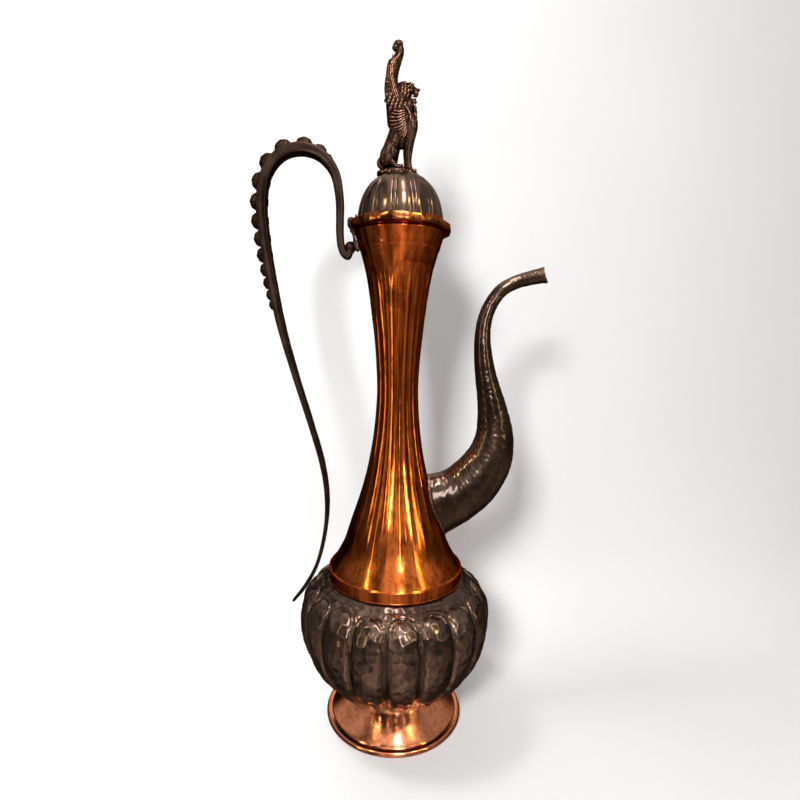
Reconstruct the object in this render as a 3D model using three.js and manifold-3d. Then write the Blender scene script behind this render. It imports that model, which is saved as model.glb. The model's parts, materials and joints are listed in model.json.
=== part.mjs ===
// Decorative copper ewer: lobed bowl on a spun foot, fluted trumpet neck, swan-neck spout,
// cast strip handle and a hinged domed lid that carries a seated winged lion.
// Millimetres, +Z up, spout towards +X, handle towards -X, underside of the foot at z = 0.

import * as THREE from 'three';
import { mergeVertices } from 'three/addons/utils/BufferGeometryUtils.js';
import Module from 'manifold-3d';

const wasm = await Module();
wasm.setup();

// ---------------------------------------------------------------- driving dimensions

const GAP = 0.3;        // solder line between neighbouring pieces
const SHEET = 1.3;      // wall of the raised copper sheet
const LOBES = 18;       // lobes round the bowl
const FLUTES = 24;      // flutes up the neck
const PANELS = 14;      // panels round the lid

const foot = { rim: 61.5, curl: 2.6, hem: 5, top: 37.4, height: 24.9, wire: 1.05 };
const bowl = {
  radius: 89, middle: 99.4,
  rise: 43.1, riseBend: 2.82,
  drop: 81.7, dropBend: 1.97,
  floor: 25.2, floorRadius: 35.5, mouth: 50,
  lobeDepth: 3.2, lobeLow: 32, lobeHigh: 131,
};
const skirt = { radius: 62.3, bottom: 137.2, top: 147.6 };
const neck = {
  lapRadius: 60.6, lapBottom: 138.6, lapTop: 146.5, top: 436.2, fluteDepth: 0.7,
  outline: [
    [60.2, 147], [49.8, 166], [41.7, 190], [31.8, 220], [23.4, 258],
    [18.9, 305], [20.1, 340], [23.6, 375], [28.8, 410], [35.2, 436.2],
  ],
};
const collar = { inner: 37.1, outer: 39.5, top: 448.9, lap: 35.8, lapBottom: 433.5 };
const lid = {
  rimOuter: 45, rimInner: 34, rimBottom: 449.3, rimTop: 456.2,
  domeRadius: 38.3, domeBottom: 451.1, domeRise: 48.2, domeBend: 2.37, panelDepth: 0.9,
  bezelRadius: 35.2, bezelBottom: 442.5,
};
const hinge = { x: -42.3, z: 456.3, knuckle: 3.6, bore: 1.85, pin: 1.5, inner: 3.2, outer: 8 };
const screw = { shank: 2.4, hole: 2.9, head: 4.6, washer: 7 };

// centre line of the spout in the XZ plane, with half-height and half-width of its section
const spoutPath = [
  [22, 198, 31, 18.5], [36, 203, 29.5, 18], [57, 212, 26.4, 17.2], [74, 226.5, 25, 16.5],
  [86.6, 245.5, 22, 15.5], [91, 266, 18, 14.2], [90, 282, 15.2, 12.9], [87.5, 297, 13, 11.5],
  [84, 312, 11, 10.3], [80.6, 327, 9.4, 9.2], [78.2, 342, 8.3, 8.3], [77, 359, 7.2, 7.4],
  [78.6, 375, 6.5, 6.8], [84, 389.5, 6.1, 6.3], [93, 401.5, 5.9, 6], [106, 409, 5.9, 5.9],
  [120, 413.3, 6.3, 6.2], [132, 416.2, 7, 6.9],
];
// centre line of the handle in the XZ plane, with half-thickness and half-depth of the strip
const handlePath = [
  [-96, 111.5, 1.2, 2.2], [-84.3, 126.3, 1.5, 3.2], [-73.8, 146, 1.6, 3.8], [-66.1, 176, 1.9, 4.2],
  [-63.6, 208, 2.3, 4.5], [-67.3, 240, 2.6, 4.7], [-78.5, 281, 2.8, 4.9], [-91.6, 324, 3.1, 5.2],
  [-103.1, 366, 3.8, 5.6], [-110.7, 404, 4.2, 5.9], [-116.4, 440, 4.5, 6.2], [-118.6, 471, 4.7, 6.4],
  [-114.1, 495, 4.8, 6.4], [-101.3, 511, 4.9, 6.4], [-83.8, 516, 5, 6.4], [-67.9, 511, 4.8, 6.2],
  [-57, 498, 4.2, 5.9], [-52.5, 476, 3.7, 5.6], [-52.2, 448, 3.4, 5.4], [-51.2, 437, 3.3, 5.3],
  [-48.7, 430.3, 3.1, 5.2], [-45.6, 428.2, 3, 5.1], [-43.6, 431.6, 2.9, 5], [-43.4, 439, 2.6, 4.8],
];
// scallops along its outer edge: largest over the arch, smaller and closer together either side
const scallops = { count: 14, start: 0.6665, pitch: 17.2, radius: 7.1, largest: 3, before: 3, after: 11.5, proud: 0.34 };

// ---------------------------------------------------------------- materials

function metal(color, roughness) {
  return new THREE.MeshStandardMaterial({ color, roughness, metalness: 1 });
}

const polishedCopper = () => metal('#c9682f', 0.16);
const pinkCopper = () => metal('#cf8058', 0.2);
const patina = () => metal('#4a3a33', 0.38);
const castBronze = () => metal('#3a2c28', 0.42);
const antique = () => metal('#4b3026', 0.45);
const steel = () => metal('#8d8a86', 0.4);

// ---------------------------------------------------------------- geometry helpers

const smooth = (low, high, value) => THREE.MathUtils.smoothstep(value, low, high);

// closed indexed geometry from rings of points; open rings are capped at both ends
function loft(rings, wrapped) {
  const sides = rings[0].length;
  const positions = rings.flat(2);
  const index = [];
  const last = wrapped ? rings.length : rings.length - 1;
  for (let i = 0; i < last; i++) {
    const a = i * sides;
    const b = ((i + 1) % rings.length) * sides;
    for (let j = 0; j < sides; j++) {
      const k = (j + 1) % sides;
      index.push(a + j, a + k, b + k, a + j, b + k, b + j);
    }
  }
  if (!wrapped) {
    for (const [ring, base, flip] of [[rings[0], 0, true], [rings.at(-1), last * sides, false]]) {
      const centre = positions.length / 3;
      positions.push(...[0, 1, 2].map((c) => ring.reduce((sum, p) => sum + p[c], 0) / sides));
      for (let j = 0; j < sides; j++) {
        const k = (j + 1) % sides;
        index.push(centre, ...(flip ? [base + k, base + j] : [base + j, base + k]));
      }
    }
  }
  const geometry = new THREE.BufferGeometry();
  geometry.setAttribute('position', new THREE.Float32BufferAttribute(positions, 3));
  geometry.setIndex(index);
  return facingOut(geometry);
}

// turn the faces over when the enclosed volume comes out negative
function facingOut(geometry) {
  const p = geometry.attributes.position;
  const index = geometry.index.array;
  const [a, b, c] = [new THREE.Vector3(), new THREE.Vector3(), new THREE.Vector3()];
  let volume = 0;
  for (let i = 0; i < index.length; i += 3) {
    a.fromBufferAttribute(p, index[i]);
    b.fromBufferAttribute(p, index[i + 1]);
    c.fromBufferAttribute(p, index[i + 2]);
    volume += a.dot(b.cross(c));
  }
  if (volume < 0) {
    geometry.setIndex(Array.from(index).reverse());
  }
  return geometry;
}

function welded(geometry) {
  const copy = geometry.clone();
  copy.deleteAttribute('normal');
  copy.deleteAttribute('uv');
  return facingOut(mergeVertices(copy, 1e-4));
}

// solid of revolution about Z; the outline is closed on itself or on the axis
function revolve(outline, segments) {
  const points = outline.map(([r, z]) => new THREE.Vector2(r, z));
  if (outline[0][0] > 0) points.push(points[0].clone());
  return welded(new THREE.LatheGeometry(points, segments).rotateX(Math.PI / 2));
}

// move every point in or out by change(z, angle), where angle is 0 at -Y
function radial(geometry, change) {
  const p = geometry.attributes.position;
  for (let i = 0; i < p.count; i++) {
    const r = Math.hypot(p.getX(i), p.getY(i));
    if (r < 1e-6) continue;
    const k = 1 + change(p.getZ(i), Math.atan2(p.getX(i), -p.getY(i))) / r;
    p.setXY(i, p.getX(i) * k, p.getY(i) * k);
  }
  return geometry;
}

function extrudeXZ(points, halfWidth, offset = 0) {
  const shape = new THREE.Shape(points.map(([x, z]) => new THREE.Vector2(x, z)));
  const geometry = new THREE.ExtrudeGeometry(shape, { depth: 2 * halfWidth, bevelEnabled: false });
  return welded(geometry.translate(0, 0, -halfWidth).rotateX(Math.PI / 2).translate(0, offset, 0));
}

function cylinderY(radius, halfLength, x, z, offset = 0) {
  const geometry = new THREE.CylinderGeometry(radius, radius, 2 * halfLength, 16);
  return welded(geometry.translate(x, offset, z));
}

function ellipsoid([rx, ry, rz], [x, y, z], tilt = 0, detail = 10) {
  const geometry = new THREE.SphereGeometry(1, detail, Math.round(detail * 0.7));
  return welded(geometry.scale(rx, ry, rz).rotateY(tilt).translate(x, y, z));
}

// rings square to a path in an XZ plane; each stop is [x, z, half-height, half-width]
function ringsAlong(stops, steps, sides, grow, y = 0, power = 1) {
  const line = new THREE.CatmullRomCurve3(stops.map(([x, z]) => new THREE.Vector3(x, y, z)));
  const sizes = new THREE.CatmullRomCurve3(stops.map(([, , h, w]) => new THREE.Vector3(h, w, 0)));
  const rings = [];
  for (let i = 0; i <= steps; i++) {
    const t = i / steps;
    const centre = line.getPoint(t);
    const along = line.getTangent(t);
    const size = sizes.getPoint(t);
    rings.push(Array.from({ length: sides }, (_, j) => {
      const angle = (j / sides) * 2 * Math.PI;
      const shape = (v) => Math.sign(v) * Math.abs(v) ** power;
      const up = (size.x + grow) * shape(Math.cos(angle));
      const side = (size.y + grow) * shape(Math.sin(angle));
      return [centre.x - along.z * up, centre.y + side, centre.z + along.x * up];
    }));
  }
  return rings;
}

const limb = (stops, y, steps = 6, sides = 7) => loft(ringsAlong(stops, steps, sides, 0, y), false);

// ---------------------------------------------------------------- joining and cutting

function solid(geometry) {
  const closed = welded(geometry);
  return new wasm.Manifold(new wasm.Mesh({
    numProp: 3,
    vertProperties: new Float32Array(closed.attributes.position.array),
    triVerts: new Uint32Array(closed.index.array),
  }));
}

function surface(body) {
  const mesh = body.getMesh();
  const geometry = new THREE.BufferGeometry();
  geometry.setAttribute('position', new THREE.BufferAttribute(mesh.vertProperties, 3));
  geometry.setIndex(new THREE.BufferAttribute(mesh.triVerts, 1));
  return geometry;
}

const join = (...pieces) => surface(pieces.map(solid).reduce((a, b) => a.add(b)));
const cut = (piece, ...tools) => surface(tools.map(solid).reduce((a, b) => a.subtract(b), solid(piece)));

// ---------------------------------------------------------------- foot

function footShell() {
  const { rim, curl, hem, top, height } = foot;
  const flare = [[top, height], [39.6, 19], [44.5, 13.2], [51, 9.2], [57, 6.7]];
  const arc = (radius) => [90, 40, -5, -50, -90].map((d) => {
    const a = THREE.MathUtils.degToRad(d);
    return [rim + radius * Math.cos(a), curl + radius * Math.sin(a)];
  });
  const inside = flare.map(([r, z]) => [r - SHEET, z === height ? z : z - SHEET * 0.6]);
  const outline = [
    ...flare, ...arc(curl), [rim - hem, 0],
    [rim - hem, SHEET * 0.9], ...arc(curl - SHEET * 0.9).reverse(), ...inside.reverse(),
  ];
  return revolve(outline, 36);
}

function footWire() {
  const outline = Array.from({ length: 6 }, (_, i) => {
    const a = (i / 6) * 2 * Math.PI;
    return [foot.rim + foot.wire * Math.cos(a), foot.curl + foot.wire * Math.sin(a)];
  });
  return revolve(outline, 36);
}

// ---------------------------------------------------------------- bowl

// quarter outlines: from the floor out to the widest ring, then in to the mouth
function bowlOutline(inset) {
  const { radius, middle, rise, riseBend, drop, dropBend, mouth } = bowl;
  const at = (r, height, bend) => height * (1 - (r / radius) ** bend) ** (1 / bend);
  const lower = [42, 56, 68, 79, 86.5].map((r) => [r, middle - at(r, drop, dropBend)]);
  const upper = [86.5, 80, 71, 61, mouth].map((r) => [r, middle + at(r, rise, riseBend)]);
  const wall = [...lower, [radius, middle], ...upper];
  return wall.map(([r, z]) => [r - inset, z < middle ? z + inset * 0.6 : z - inset * 0.8]);
}

function bowlLobes(z, angle) {
  const { lobeDepth, lobeLow, lobeHigh } = bowl;
  const fade = smooth(lobeLow - 6, lobeLow + 14, z) * (1 - smooth(lobeHigh - 9, lobeHigh, z));
  return lobeDepth * fade * (Math.abs(Math.cos(angle * LOBES / 2)) ** 0.5 - 1);
}

function bowlShell() {
  const { floor, floorRadius } = bowl;
  const outline = [
    [0, floor], [floorRadius, floor], ...bowlOutline(0),
    ...bowlOutline(SHEET).reverse(), [floorRadius, floor + SHEET], [0, floor + SHEET],
  ];
  return radial(revolve(outline, LOBES * 3), bowlLobes);
}

function skirtBand() {
  const { radius, bottom, top } = skirt;
  return revolve([[radius, bottom], [radius, top], [radius - SHEET, top], [radius - SHEET, bottom]], 36);
}

// ---------------------------------------------------------------- neck

function neckOutline(inset) {
  const curve = new THREE.SplineCurve(neck.outline.map(([r, z]) => new THREE.Vector2(r, z)));
  const wall = curve.getPoints(10).map((p) => [p.x + inset, p.y]);
  return [[neck.lapRadius + inset, neck.lapBottom], [neck.lapRadius + inset, neck.lapTop], ...wall];
}

function neckFlutes(z, angle) {
  const fade = smooth(neck.lapTop, neck.lapTop + 12, z) * (1 - smooth(neck.top - 8, neck.top, z));
  return -neck.fluteDepth * fade * Math.abs(Math.sin(angle * FLUTES / 2));
}

function neckShell() {
  const shell = revolve([...neckOutline(0), ...neckOutline(-SHEET).reverse()], FLUTES * 2);
  const bore = loft(ringsAlong(spoutPath.slice(0, 4), 4, 12, -SHEET - 0.6), false);
  return cut(radial(shell, neckFlutes), bore);
}

function mouthCollar() {
  const { inner, outer, top, lap, lapBottom } = collar;
  return revolve([
    [lap + SHEET, lapBottom], [outer - 1.1, 436.6], [outer - 0.5, 442], [outer, top - 0.6],
    [outer - 0.4, top], [inner, top], [inner, 440], [lap, 437], [lap, lapBottom],
  ], 36);
}

// ---------------------------------------------------------------- spout

function spoutTube() {
  const outside = ringsAlong(spoutPath, 22, 12, 0);
  const inside = ringsAlong(spoutPath, 22, 12, -SHEET);
  const tube = loft([...outside, ...inside.reverse()], true);
  const core = neckOutline(GAP).slice(2);
  const plug = revolve([[0, core[0][1]], ...core, [0, neck.top]], FLUTES * 2);
  return cut(tube, radial(plug, neckFlutes));
}

// ---------------------------------------------------------------- handle

// round scallops along the outer edge, largest at the top of the arch and closer together below
function scallopShells() {
  const line = new THREE.CatmullRomCurve3(handlePath.map(([x, z]) => new THREE.Vector3(x, 0, z)));
  const { count, start, pitch, largest, before, after, proud } = scallops;
  const size = (i) => Math.exp(-(((i - largest) / (i < largest ? before : after)) ** 2));
  const shells = [];
  let t = start;
  for (let i = 0; i < count; i++) {
    const radius = scallops.radius * size(i) ** 0.6;
    const outerEdge = (u) => {
      const along = line.getTangent(u);
      return line.getPoint(u).addScaledVector(new THREE.Vector3(-along.z, 0, along.x), proud * radius);
    };
    const centre = outerEdge(t);
    shells.push(ellipsoid([radius, radius * 0.64, radius], centre.toArray(), 0, 10));
    while (outerEdge(t).distanceTo(centre) < pitch * size(i + 0.5)) t -= 0.0005;
  }
  return shells;
}

function handleStrip() {
  const strip = loft(ringsAlong(handlePath, 50, 8, 0, 0, 0.8), false);
  return join(strip, ...scallopShells());
}

function handleLug() {
  return extrudeXZ([
    [-39.5, 440.8], [-38.9, 436.4], [-37.6, 433.2], [-34.5, 430.2], [-36.2, 429.2], [-39.3, 432.4],
    [-40.4, 435.6], [-40.5, 440.8],
  ], 5);
}

// ---------------------------------------------------------------- hinge

function neckLeaf() {
  const { x, z, knuckle, bore, inner, outer } = hinge;
  const plate = extrudeXZ([
    [x + 1.6, z - 2.8], [-40.4, 450], [-39.9, 446], [-39.6, 441.2],
    [-40.8, 441.2], [-41.2, 446.5], [x - 1.6, z - 2.9],
  ], outer);
  const width = (outer - inner - GAP) / 2;
  const rings = [-1, 1].map((s) => cylinderY(knuckle, width, x, z, s * (outer - width)));
  const middle = extrudeXZ([[-50, 450.3], [-36, 450.3], [-36, 462], [-50, 462]], inner + GAP);
  return cut(join(cut(plate, middle), ...rings), cylinderY(bore, outer + 1, x, z));
}

function lidLeaf() {
  const { x, z, knuckle, bore, inner } = hinge;
  const tab = extrudeXZ([[-40.1, 452.4], [-38.75, 452.4], [-37.5, 463.5], [-38.8, 463.5]], inner);
  return cut(join(tab, cylinderY(knuckle, inner, x, z)), cylinderY(bore, inner + 1, x, z));
}

function hingePin() {
  const { x, z, pin, outer } = hinge;
  const head = (s) => ellipsoid([2.3, 0.9, 2.3], [x, s * (outer + 1.1), z]);
  return join(cylinderY(pin, outer + 1.1, x, z), head(-1), head(1));
}

// ---------------------------------------------------------------- lid

function domeOutline(inset) {
  const { domeRadius, domeBottom, domeRise, domeBend } = lid;
  return [0, 14, 30, 46, 61, 74].map((d) => {
    const a = THREE.MathUtils.degToRad(d);
    const out = Math.cos(a) ** (2 / domeBend);
    const up = Math.sin(a) ** (2 / domeBend);
    return [(domeRadius - inset) * out, domeBottom + (domeRise - inset) * up];
  });
}

function domePanels(z, angle) {
  const fade = 1 - smooth(lid.domeBottom + 36, lid.domeBottom + 46, z);
  return lid.panelDepth * fade * (Math.abs(Math.cos(angle * PANELS / 2)) ** 0.5 - 1);
}

function lidDome() {
  const top = lid.domeBottom + lid.domeRise;
  const outline = [
    ...domeOutline(0), [screw.hole, top], [screw.hole, top - SHEET], ...domeOutline(SHEET).reverse(),
  ];
  return radial(revolve(outline, PANELS * 3), domePanels);
}

function lidRim() {
  const { rimOuter, rimInner, rimBottom, rimTop } = lid;
  const ring = revolve([
    [rimInner, rimBottom], [rimOuter - 0.4, rimBottom], [rimOuter, rimBottom + 3],
    [rimOuter - 0.5, rimTop], [rimOuter - 2.2, rimTop], [rimOuter - 2.3, rimBottom + 1.5],
    [rimInner, rimBottom + 1.5],
  ], 36);
  const notch = extrudeXZ([[-50, 440], [-39.9, 440], [-39.9, 470], [-50, 470]], hinge.outer + 2.4);
  return cut(ring, notch);
}

function lidBezel() {
  const { bezelRadius, bezelBottom, rimBottom, rimInner } = lid;
  const top = rimBottom - GAP;
  return revolve([[rimInner, bezelBottom], [bezelRadius, bezelBottom], [bezelRadius, top], [rimInner, top]], 36);
}

// ---------------------------------------------------------------- winged lion finial

function lionBody() {
  return [
    limb([[-13, 504, 7, 7], [-9, 520, 7, 7], [-2, 533, 8.5, 6.4], [3, 545, 9.5, 6.4], [2, 558, 8, 6]], 0),
    ellipsoid([8.8, 6.6, 9.4], [6.4, 0, 541.5], 0.2),
    ellipsoid([7, 5.4, 9], [-1, 0, 525]),
    limb([[-13, 505, 3.4, 2.2], [-19, 508, 2, 2], [-18, 515, 1.5, 1.5], [-14, 520, 1.2, 1.2]], 3),
  ];
}

function lionHead() {
  return [
    ellipsoid([8.8, 6.8, 8.8], [2, 0, 566.6]),
    limb([[5, 568, 4.8, 4.4], [10, 567.6, 4.1, 3.7], [15, 566.2, 3, 2.9]], 0, 4),
    limb([[5, 560.2, 2.6, 3.2], [10, 558.6, 2, 2.6], [14.4, 557.2, 1.2, 1.6]], 0, 4),
    ...[-1, 1].map((s) => ellipsoid([2, 1.2, 2.4], [0, s * 5.2, 574.4], 0, 8)),
  ];
}

function lionLegs() {
  const foreleg = [[7, 537, 4.8, 3.2], [6.8, 522, 3.9, 2.8], [5.8, 508, 2.9, 2.4], [6.4, 500, 3.2, 2.6]];
  return [-1, 1].flatMap((s) => [
    limb(foreleg, s * 4.3),
    ellipsoid([4.8, 2.8, 2.4], [9.2, s * 4.3, 502], 0, 8),
    ellipsoid([6.8, 3.6, 10.5], [-11.4, s * 5.2, 512.6], 0.25),
    ellipsoid([5.8, 2.6, 2.4], [-4, s * 5.6, 502.6], 0, 8),
  ]);
}

// each wing fans back from the shoulder, then the pair sweeps up into one curled tip
function lionWings() {
  const sweep = [
    [-4, 532, 7.4, 2.4], [-5, 543, 7.6, 2.7], [-7.6, 556, 6.8, 2.8], [-8.8, 568, 6.6, 2.6],
    [-8, 580, 5.6, 2.4], [-4.8, 590, 4.6, 2.2], [-1.8, 598.5, 3.5, 2.2], [-2.8, 603.6, 3, 2.2],
  ];
  const wings = [-1, 1].map((s) => limb(sweep, s * 3.8, 10));
  const web = sweep.slice(3).map(([x, z, h]) => [x, z, h * 0.8, 3]);
  return [...wings, limb(web, 0, 6), ellipsoid([4.4, 4.4, 3.4], [-3.6, 0, 603.2])];
}

function finialCasting() {
  const plinth = ellipsoid([18.4, 12, 6], [-3.2, 0, 498.6], 0, 14);
  const body = join(plinth, ...lionBody(), ...lionHead(), ...lionLegs(), ...lionWings());
  const lift = GAP + 0.35;
  const top = lid.domeBottom + lid.domeRise + lift;
  const dome = revolve([[0, lid.domeBottom], ...domeOutline(-lift), [screw.hole, top], [0, top]], 28);
  const below = revolve([[0, 480], [40, 480], [40, 496], [0, 496]], 20);
  return cut(body, dome, below, cylinderZ(screw.shank + GAP, 490, 507.5));
}

function cylinderZ(radius, low, high) {
  return revolve([[0, low], [radius, low], [radius, high], [0, high]], 16);
}

function finialScrew() {
  const underside = lid.domeBottom + lid.domeRise - SHEET - 1.2 - 2 * GAP;
  const outline = [
    [0, underside - 2.6], [screw.head - 1.2, underside - 2.6], [screw.head, underside - 1.2],
    [screw.head, underside], [screw.shank, underside], [screw.shank, 507], [0, 507],
  ];
  return revolve(outline, 16);
}

function finialWasher() {
  const top = lid.domeBottom + lid.domeRise - SHEET - GAP - 0.35;
  return revolve([
    [screw.hole, top - 1], [screw.washer, top - 1.2], [screw.washer, top - 0.35], [screw.hole, top],
  ], 20);
}

// ---------------------------------------------------------------- assembly

const ewer = new THREE.Group();

function add(name, geometry, material) {
  const mesh = new THREE.Mesh(geometry, material);
  mesh.name = name;
  ewer.add(mesh);
}

add('foot', footShell(), pinkCopper());
add('foot_rim_wire', footWire(), steel());
add('bowl', bowlShell(), patina());
add('skirt_band', skirtBand(), polishedCopper());
add('neck', neckShell(), polishedCopper());
add('mouth_collar', mouthCollar(), polishedCopper());
add('spout', spoutTube(), patina());
add('handle', handleStrip(), castBronze());
add('handle_lug', handleLug(), castBronze());
add('hinge_leaf_neck', neckLeaf(), castBronze());
add('hinge_pin', hingePin(), castBronze());
add('hinge_leaf_lid', lidLeaf(), castBronze());
add('lid_dome', lidDome(), patina());
add('lid_rim', lidRim(), polishedCopper());
add('lid_bezel', lidBezel(), polishedCopper());
add('finial_lion', finialCasting(), antique());
add('finial_screw', finialScrew(), steel());
add('finial_washer', finialWasher(), steel());

export default ewer;
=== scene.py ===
# Looks of the copper ewer: hammered lobed bowl, polished fluted neck and foot, dark cast
# strip handle and a seated winged lion on a hinged panelled lid.
# Lengths are millimetres in the row frame until a mesh is made; Blender works in metres.

import bisect
import json
import math
import random

import bmesh
import bpy
from mathutils import Matrix, Vector, noise


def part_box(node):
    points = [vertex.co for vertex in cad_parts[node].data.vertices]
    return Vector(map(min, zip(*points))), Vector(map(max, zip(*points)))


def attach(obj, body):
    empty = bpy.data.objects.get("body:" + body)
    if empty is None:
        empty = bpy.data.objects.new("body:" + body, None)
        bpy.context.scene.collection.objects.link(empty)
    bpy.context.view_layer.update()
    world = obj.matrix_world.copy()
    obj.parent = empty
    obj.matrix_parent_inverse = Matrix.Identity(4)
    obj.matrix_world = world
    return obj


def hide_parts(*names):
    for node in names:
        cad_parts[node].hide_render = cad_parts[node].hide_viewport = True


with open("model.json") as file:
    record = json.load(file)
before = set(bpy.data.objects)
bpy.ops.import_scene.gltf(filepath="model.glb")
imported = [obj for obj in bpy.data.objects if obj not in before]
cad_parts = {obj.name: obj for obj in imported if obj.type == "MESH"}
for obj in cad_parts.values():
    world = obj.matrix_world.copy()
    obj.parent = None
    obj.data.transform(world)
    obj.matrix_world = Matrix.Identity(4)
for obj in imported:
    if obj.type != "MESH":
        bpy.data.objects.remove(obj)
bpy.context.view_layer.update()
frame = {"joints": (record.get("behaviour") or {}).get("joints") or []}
MM = 0.001
random.seed(7)


# ---------------------------------------------------------------- sizes, from the frame


def extent(node):
    """Lowest and highest corner of a CAD node, in millimetres."""
    low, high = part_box(node)
    return low / MM, high / MM


_, FOOT_HIGH = extent("foot")
BOWL_LOW, BOWL_HIGH = extent("bowl")
BAND_LOW, BAND_HIGH = extent("skirt_band")
COLLAR_LOW, COLLAR_HIGH = extent("mouth_collar")
DOME_LOW, DOME_HIGH = extent("lid_dome")
RIM_LOW, RIM_HIGH = extent("lid_rim")
BEZEL_LOW, BEZEL_HIGH = extent("lid_bezel")
SHEET = 1.3
LOBES = 18
FLUTES = 24
PANELS = 14
HINGE = Vector(frame["joints"][0]["pos_m"]) / MM


# ---------------------------------------------------------------- curves and fields


def smooth(low, high, value):
    t = min(1.0, max(0.0, (value - low) / (high - low)))
    return t * t * (3 - 2 * t)


def mix(a, b, t):
    return a + (b - a) * t


def knot_spans(points):
    """Centripetal spacing between neighbouring points of a curve."""
    return [max(1e-6, (Vector(b) - Vector(a)).length ** 0.5) for a, b in zip(points, points[1:])]


def curve(points, t):
    """Centripetal Catmull-Rom curve through points of any dimension, t from 0 to 1."""
    last = len(points) - 1
    place = min(max(t, 0.0), 1.0) * last
    i = min(int(place), last - 1)
    w = place - i
    p1, p2 = Vector(points[i]), Vector(points[i + 1])
    p0 = Vector(points[i - 1]) if i > 0 else 2 * p1 - p2
    p3 = Vector(points[i + 2]) if i + 2 <= last else 2 * p2 - p1
    d0, d1, d2 = knot_spans([p0, p1, p2, p3])
    m1 = ((p1 - p0) / d0 - (p2 - p0) / (d0 + d1) + (p2 - p1) / d1) * d1
    m2 = ((p2 - p1) / d1 - (p3 - p1) / (d1 + d2) + (p3 - p2) / d2) * d1
    a = 2 * p1 - 2 * p2 + m1 + m2
    b = -3 * p1 + 3 * p2 - 2 * m1 - m2
    return ((a * w + b) * w + m1) * w + p1


def resample(points, steps):
    """Points at equal distances along a polyline, and those distances.

    steps is a count, or a function that takes the whole length and gives the distances.
    """
    lengths = [0.0]
    for a, b in zip(points, points[1:]):
        lengths.append(lengths[-1] + (Vector(b) - Vector(a)).length)
    if callable(steps):
        wanted = steps(lengths[-1])
    else:
        wanted = [lengths[-1] * i / steps for i in range(steps + 1)]
    out = []
    k = 0
    for s in wanted:
        while k < len(lengths) - 2 and lengths[k + 1] < s:
            k += 1
        w = (s - lengths[k]) / max(1e-9, lengths[k + 1] - lengths[k])
        out.append(tuple(Vector(points[k]).lerp(Vector(points[k + 1]), w)))
    return out, wanted


def fine(points, count=200):
    """The smooth curve through a few points, as a polyline."""
    return [tuple(curve(points, i / count)) for i in range(count + 1)]


def arc(r, z, radius, first, last, steps):
    """Points on a circle about (r, z), from one angle in degrees to another."""
    angles = [math.radians(mix(first, last, i / steps)) for i in range(steps + 1)]
    return [(r + radius * math.cos(a), z + radius * math.sin(a)) for a in angles]


def turned(r, angle, z):
    """The point at a radius and an angle about the vertical axis; angle 0 faces the front, -Y."""
    return r * math.sin(angle), -r * math.cos(angle), z


def dimple(x, y, z, size):
    """Hammer marks: 0 in the middle of each shallow dish, rising to the ridges between."""
    near = noise.voronoi(Vector((x, y, z)) / size)[0]
    return min(1.0, near[0] * near[0] * 2.2)


def rough(x, y, z, size):
    """Smooth unevenness between about -1 and 1, with waves of a given size."""
    return noise.noise(Vector((x, y, z)) / size)


# ---------------------------------------------------------------- meshes


def grid_faces(rows, columns, closed_rows):
    """Quads between rings of points; every ring is closed, and so is the row of rings if asked."""
    faces = []
    for i in range(rows if closed_rows else rows - 1):
        a, b = i * columns, ((i + 1) % rows) * columns
        for j in range(columns):
            k = (j + 1) % columns
            faces.append((a + j, a + k, b + k, b + j))
    return faces


def combine(parts):
    """Several pairs of points and faces as one pair."""
    points, faces = [], []
    for more, sides in parts:
        faces += [tuple(len(points) + v for v in side) for side in sides]
        points += more
    return points, faces


def new_mesh(name, points, faces):
    """A mesh in metres from points in millimetres."""
    mesh = bpy.data.meshes.new(name)
    mesh.from_pydata([(x * MM, y * MM, z * MM) for x, y, z in points], [], faces)
    return mesh


def piece(name, points, faces, material, body, nodes=(), crease=40, relief=None):
    """A mesh that rides on a body and stands for some CAD nodes."""
    mesh = new_mesh(name, points, faces)
    if relief:
        values = mesh.attributes.new("relief", "FLOAT", "POINT")
        values.data.foreach_set("value", relief)
    return finished(name, mesh, material, body, nodes, crease)


def finished(name, mesh, material, body, nodes, crease):
    """Normals, smooth shading up to the crease angle, the material, and what the piece stands for."""
    work = bmesh.new()
    work.from_mesh(mesh)
    bmesh.ops.recalc_face_normals(work, faces=work.faces)
    work.to_mesh(mesh)
    work.free()
    mesh.shade_smooth()
    mesh.set_sharp_from_angle(angle=math.radians(crease))
    mesh.materials.append(material)
    obj = bpy.data.objects.new(name, mesh)
    bpy.context.scene.collection.objects.link(obj)
    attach(obj, body)
    if nodes:
        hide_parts(*nodes)
    return obj


def lathe(outline, columns, shift=None):
    """A closed outline of (radius, z) turned about the vertical axis.

    shift takes (r, z, angle) and gives what to add to the radius and to the height there, and
    the value of the relief attribute.
    """
    points, relief = [], []
    for r, z in outline:
        for j in range(columns):
            angle = 2 * math.pi * j / columns
            grow, lift, mark = shift(r, z, angle) if shift else (0, 0, 0)
            points.append(turned(r + grow, angle, z + lift))
            relief.append(mark)
    return points, grid_faces(len(outline), columns, True), relief


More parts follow.
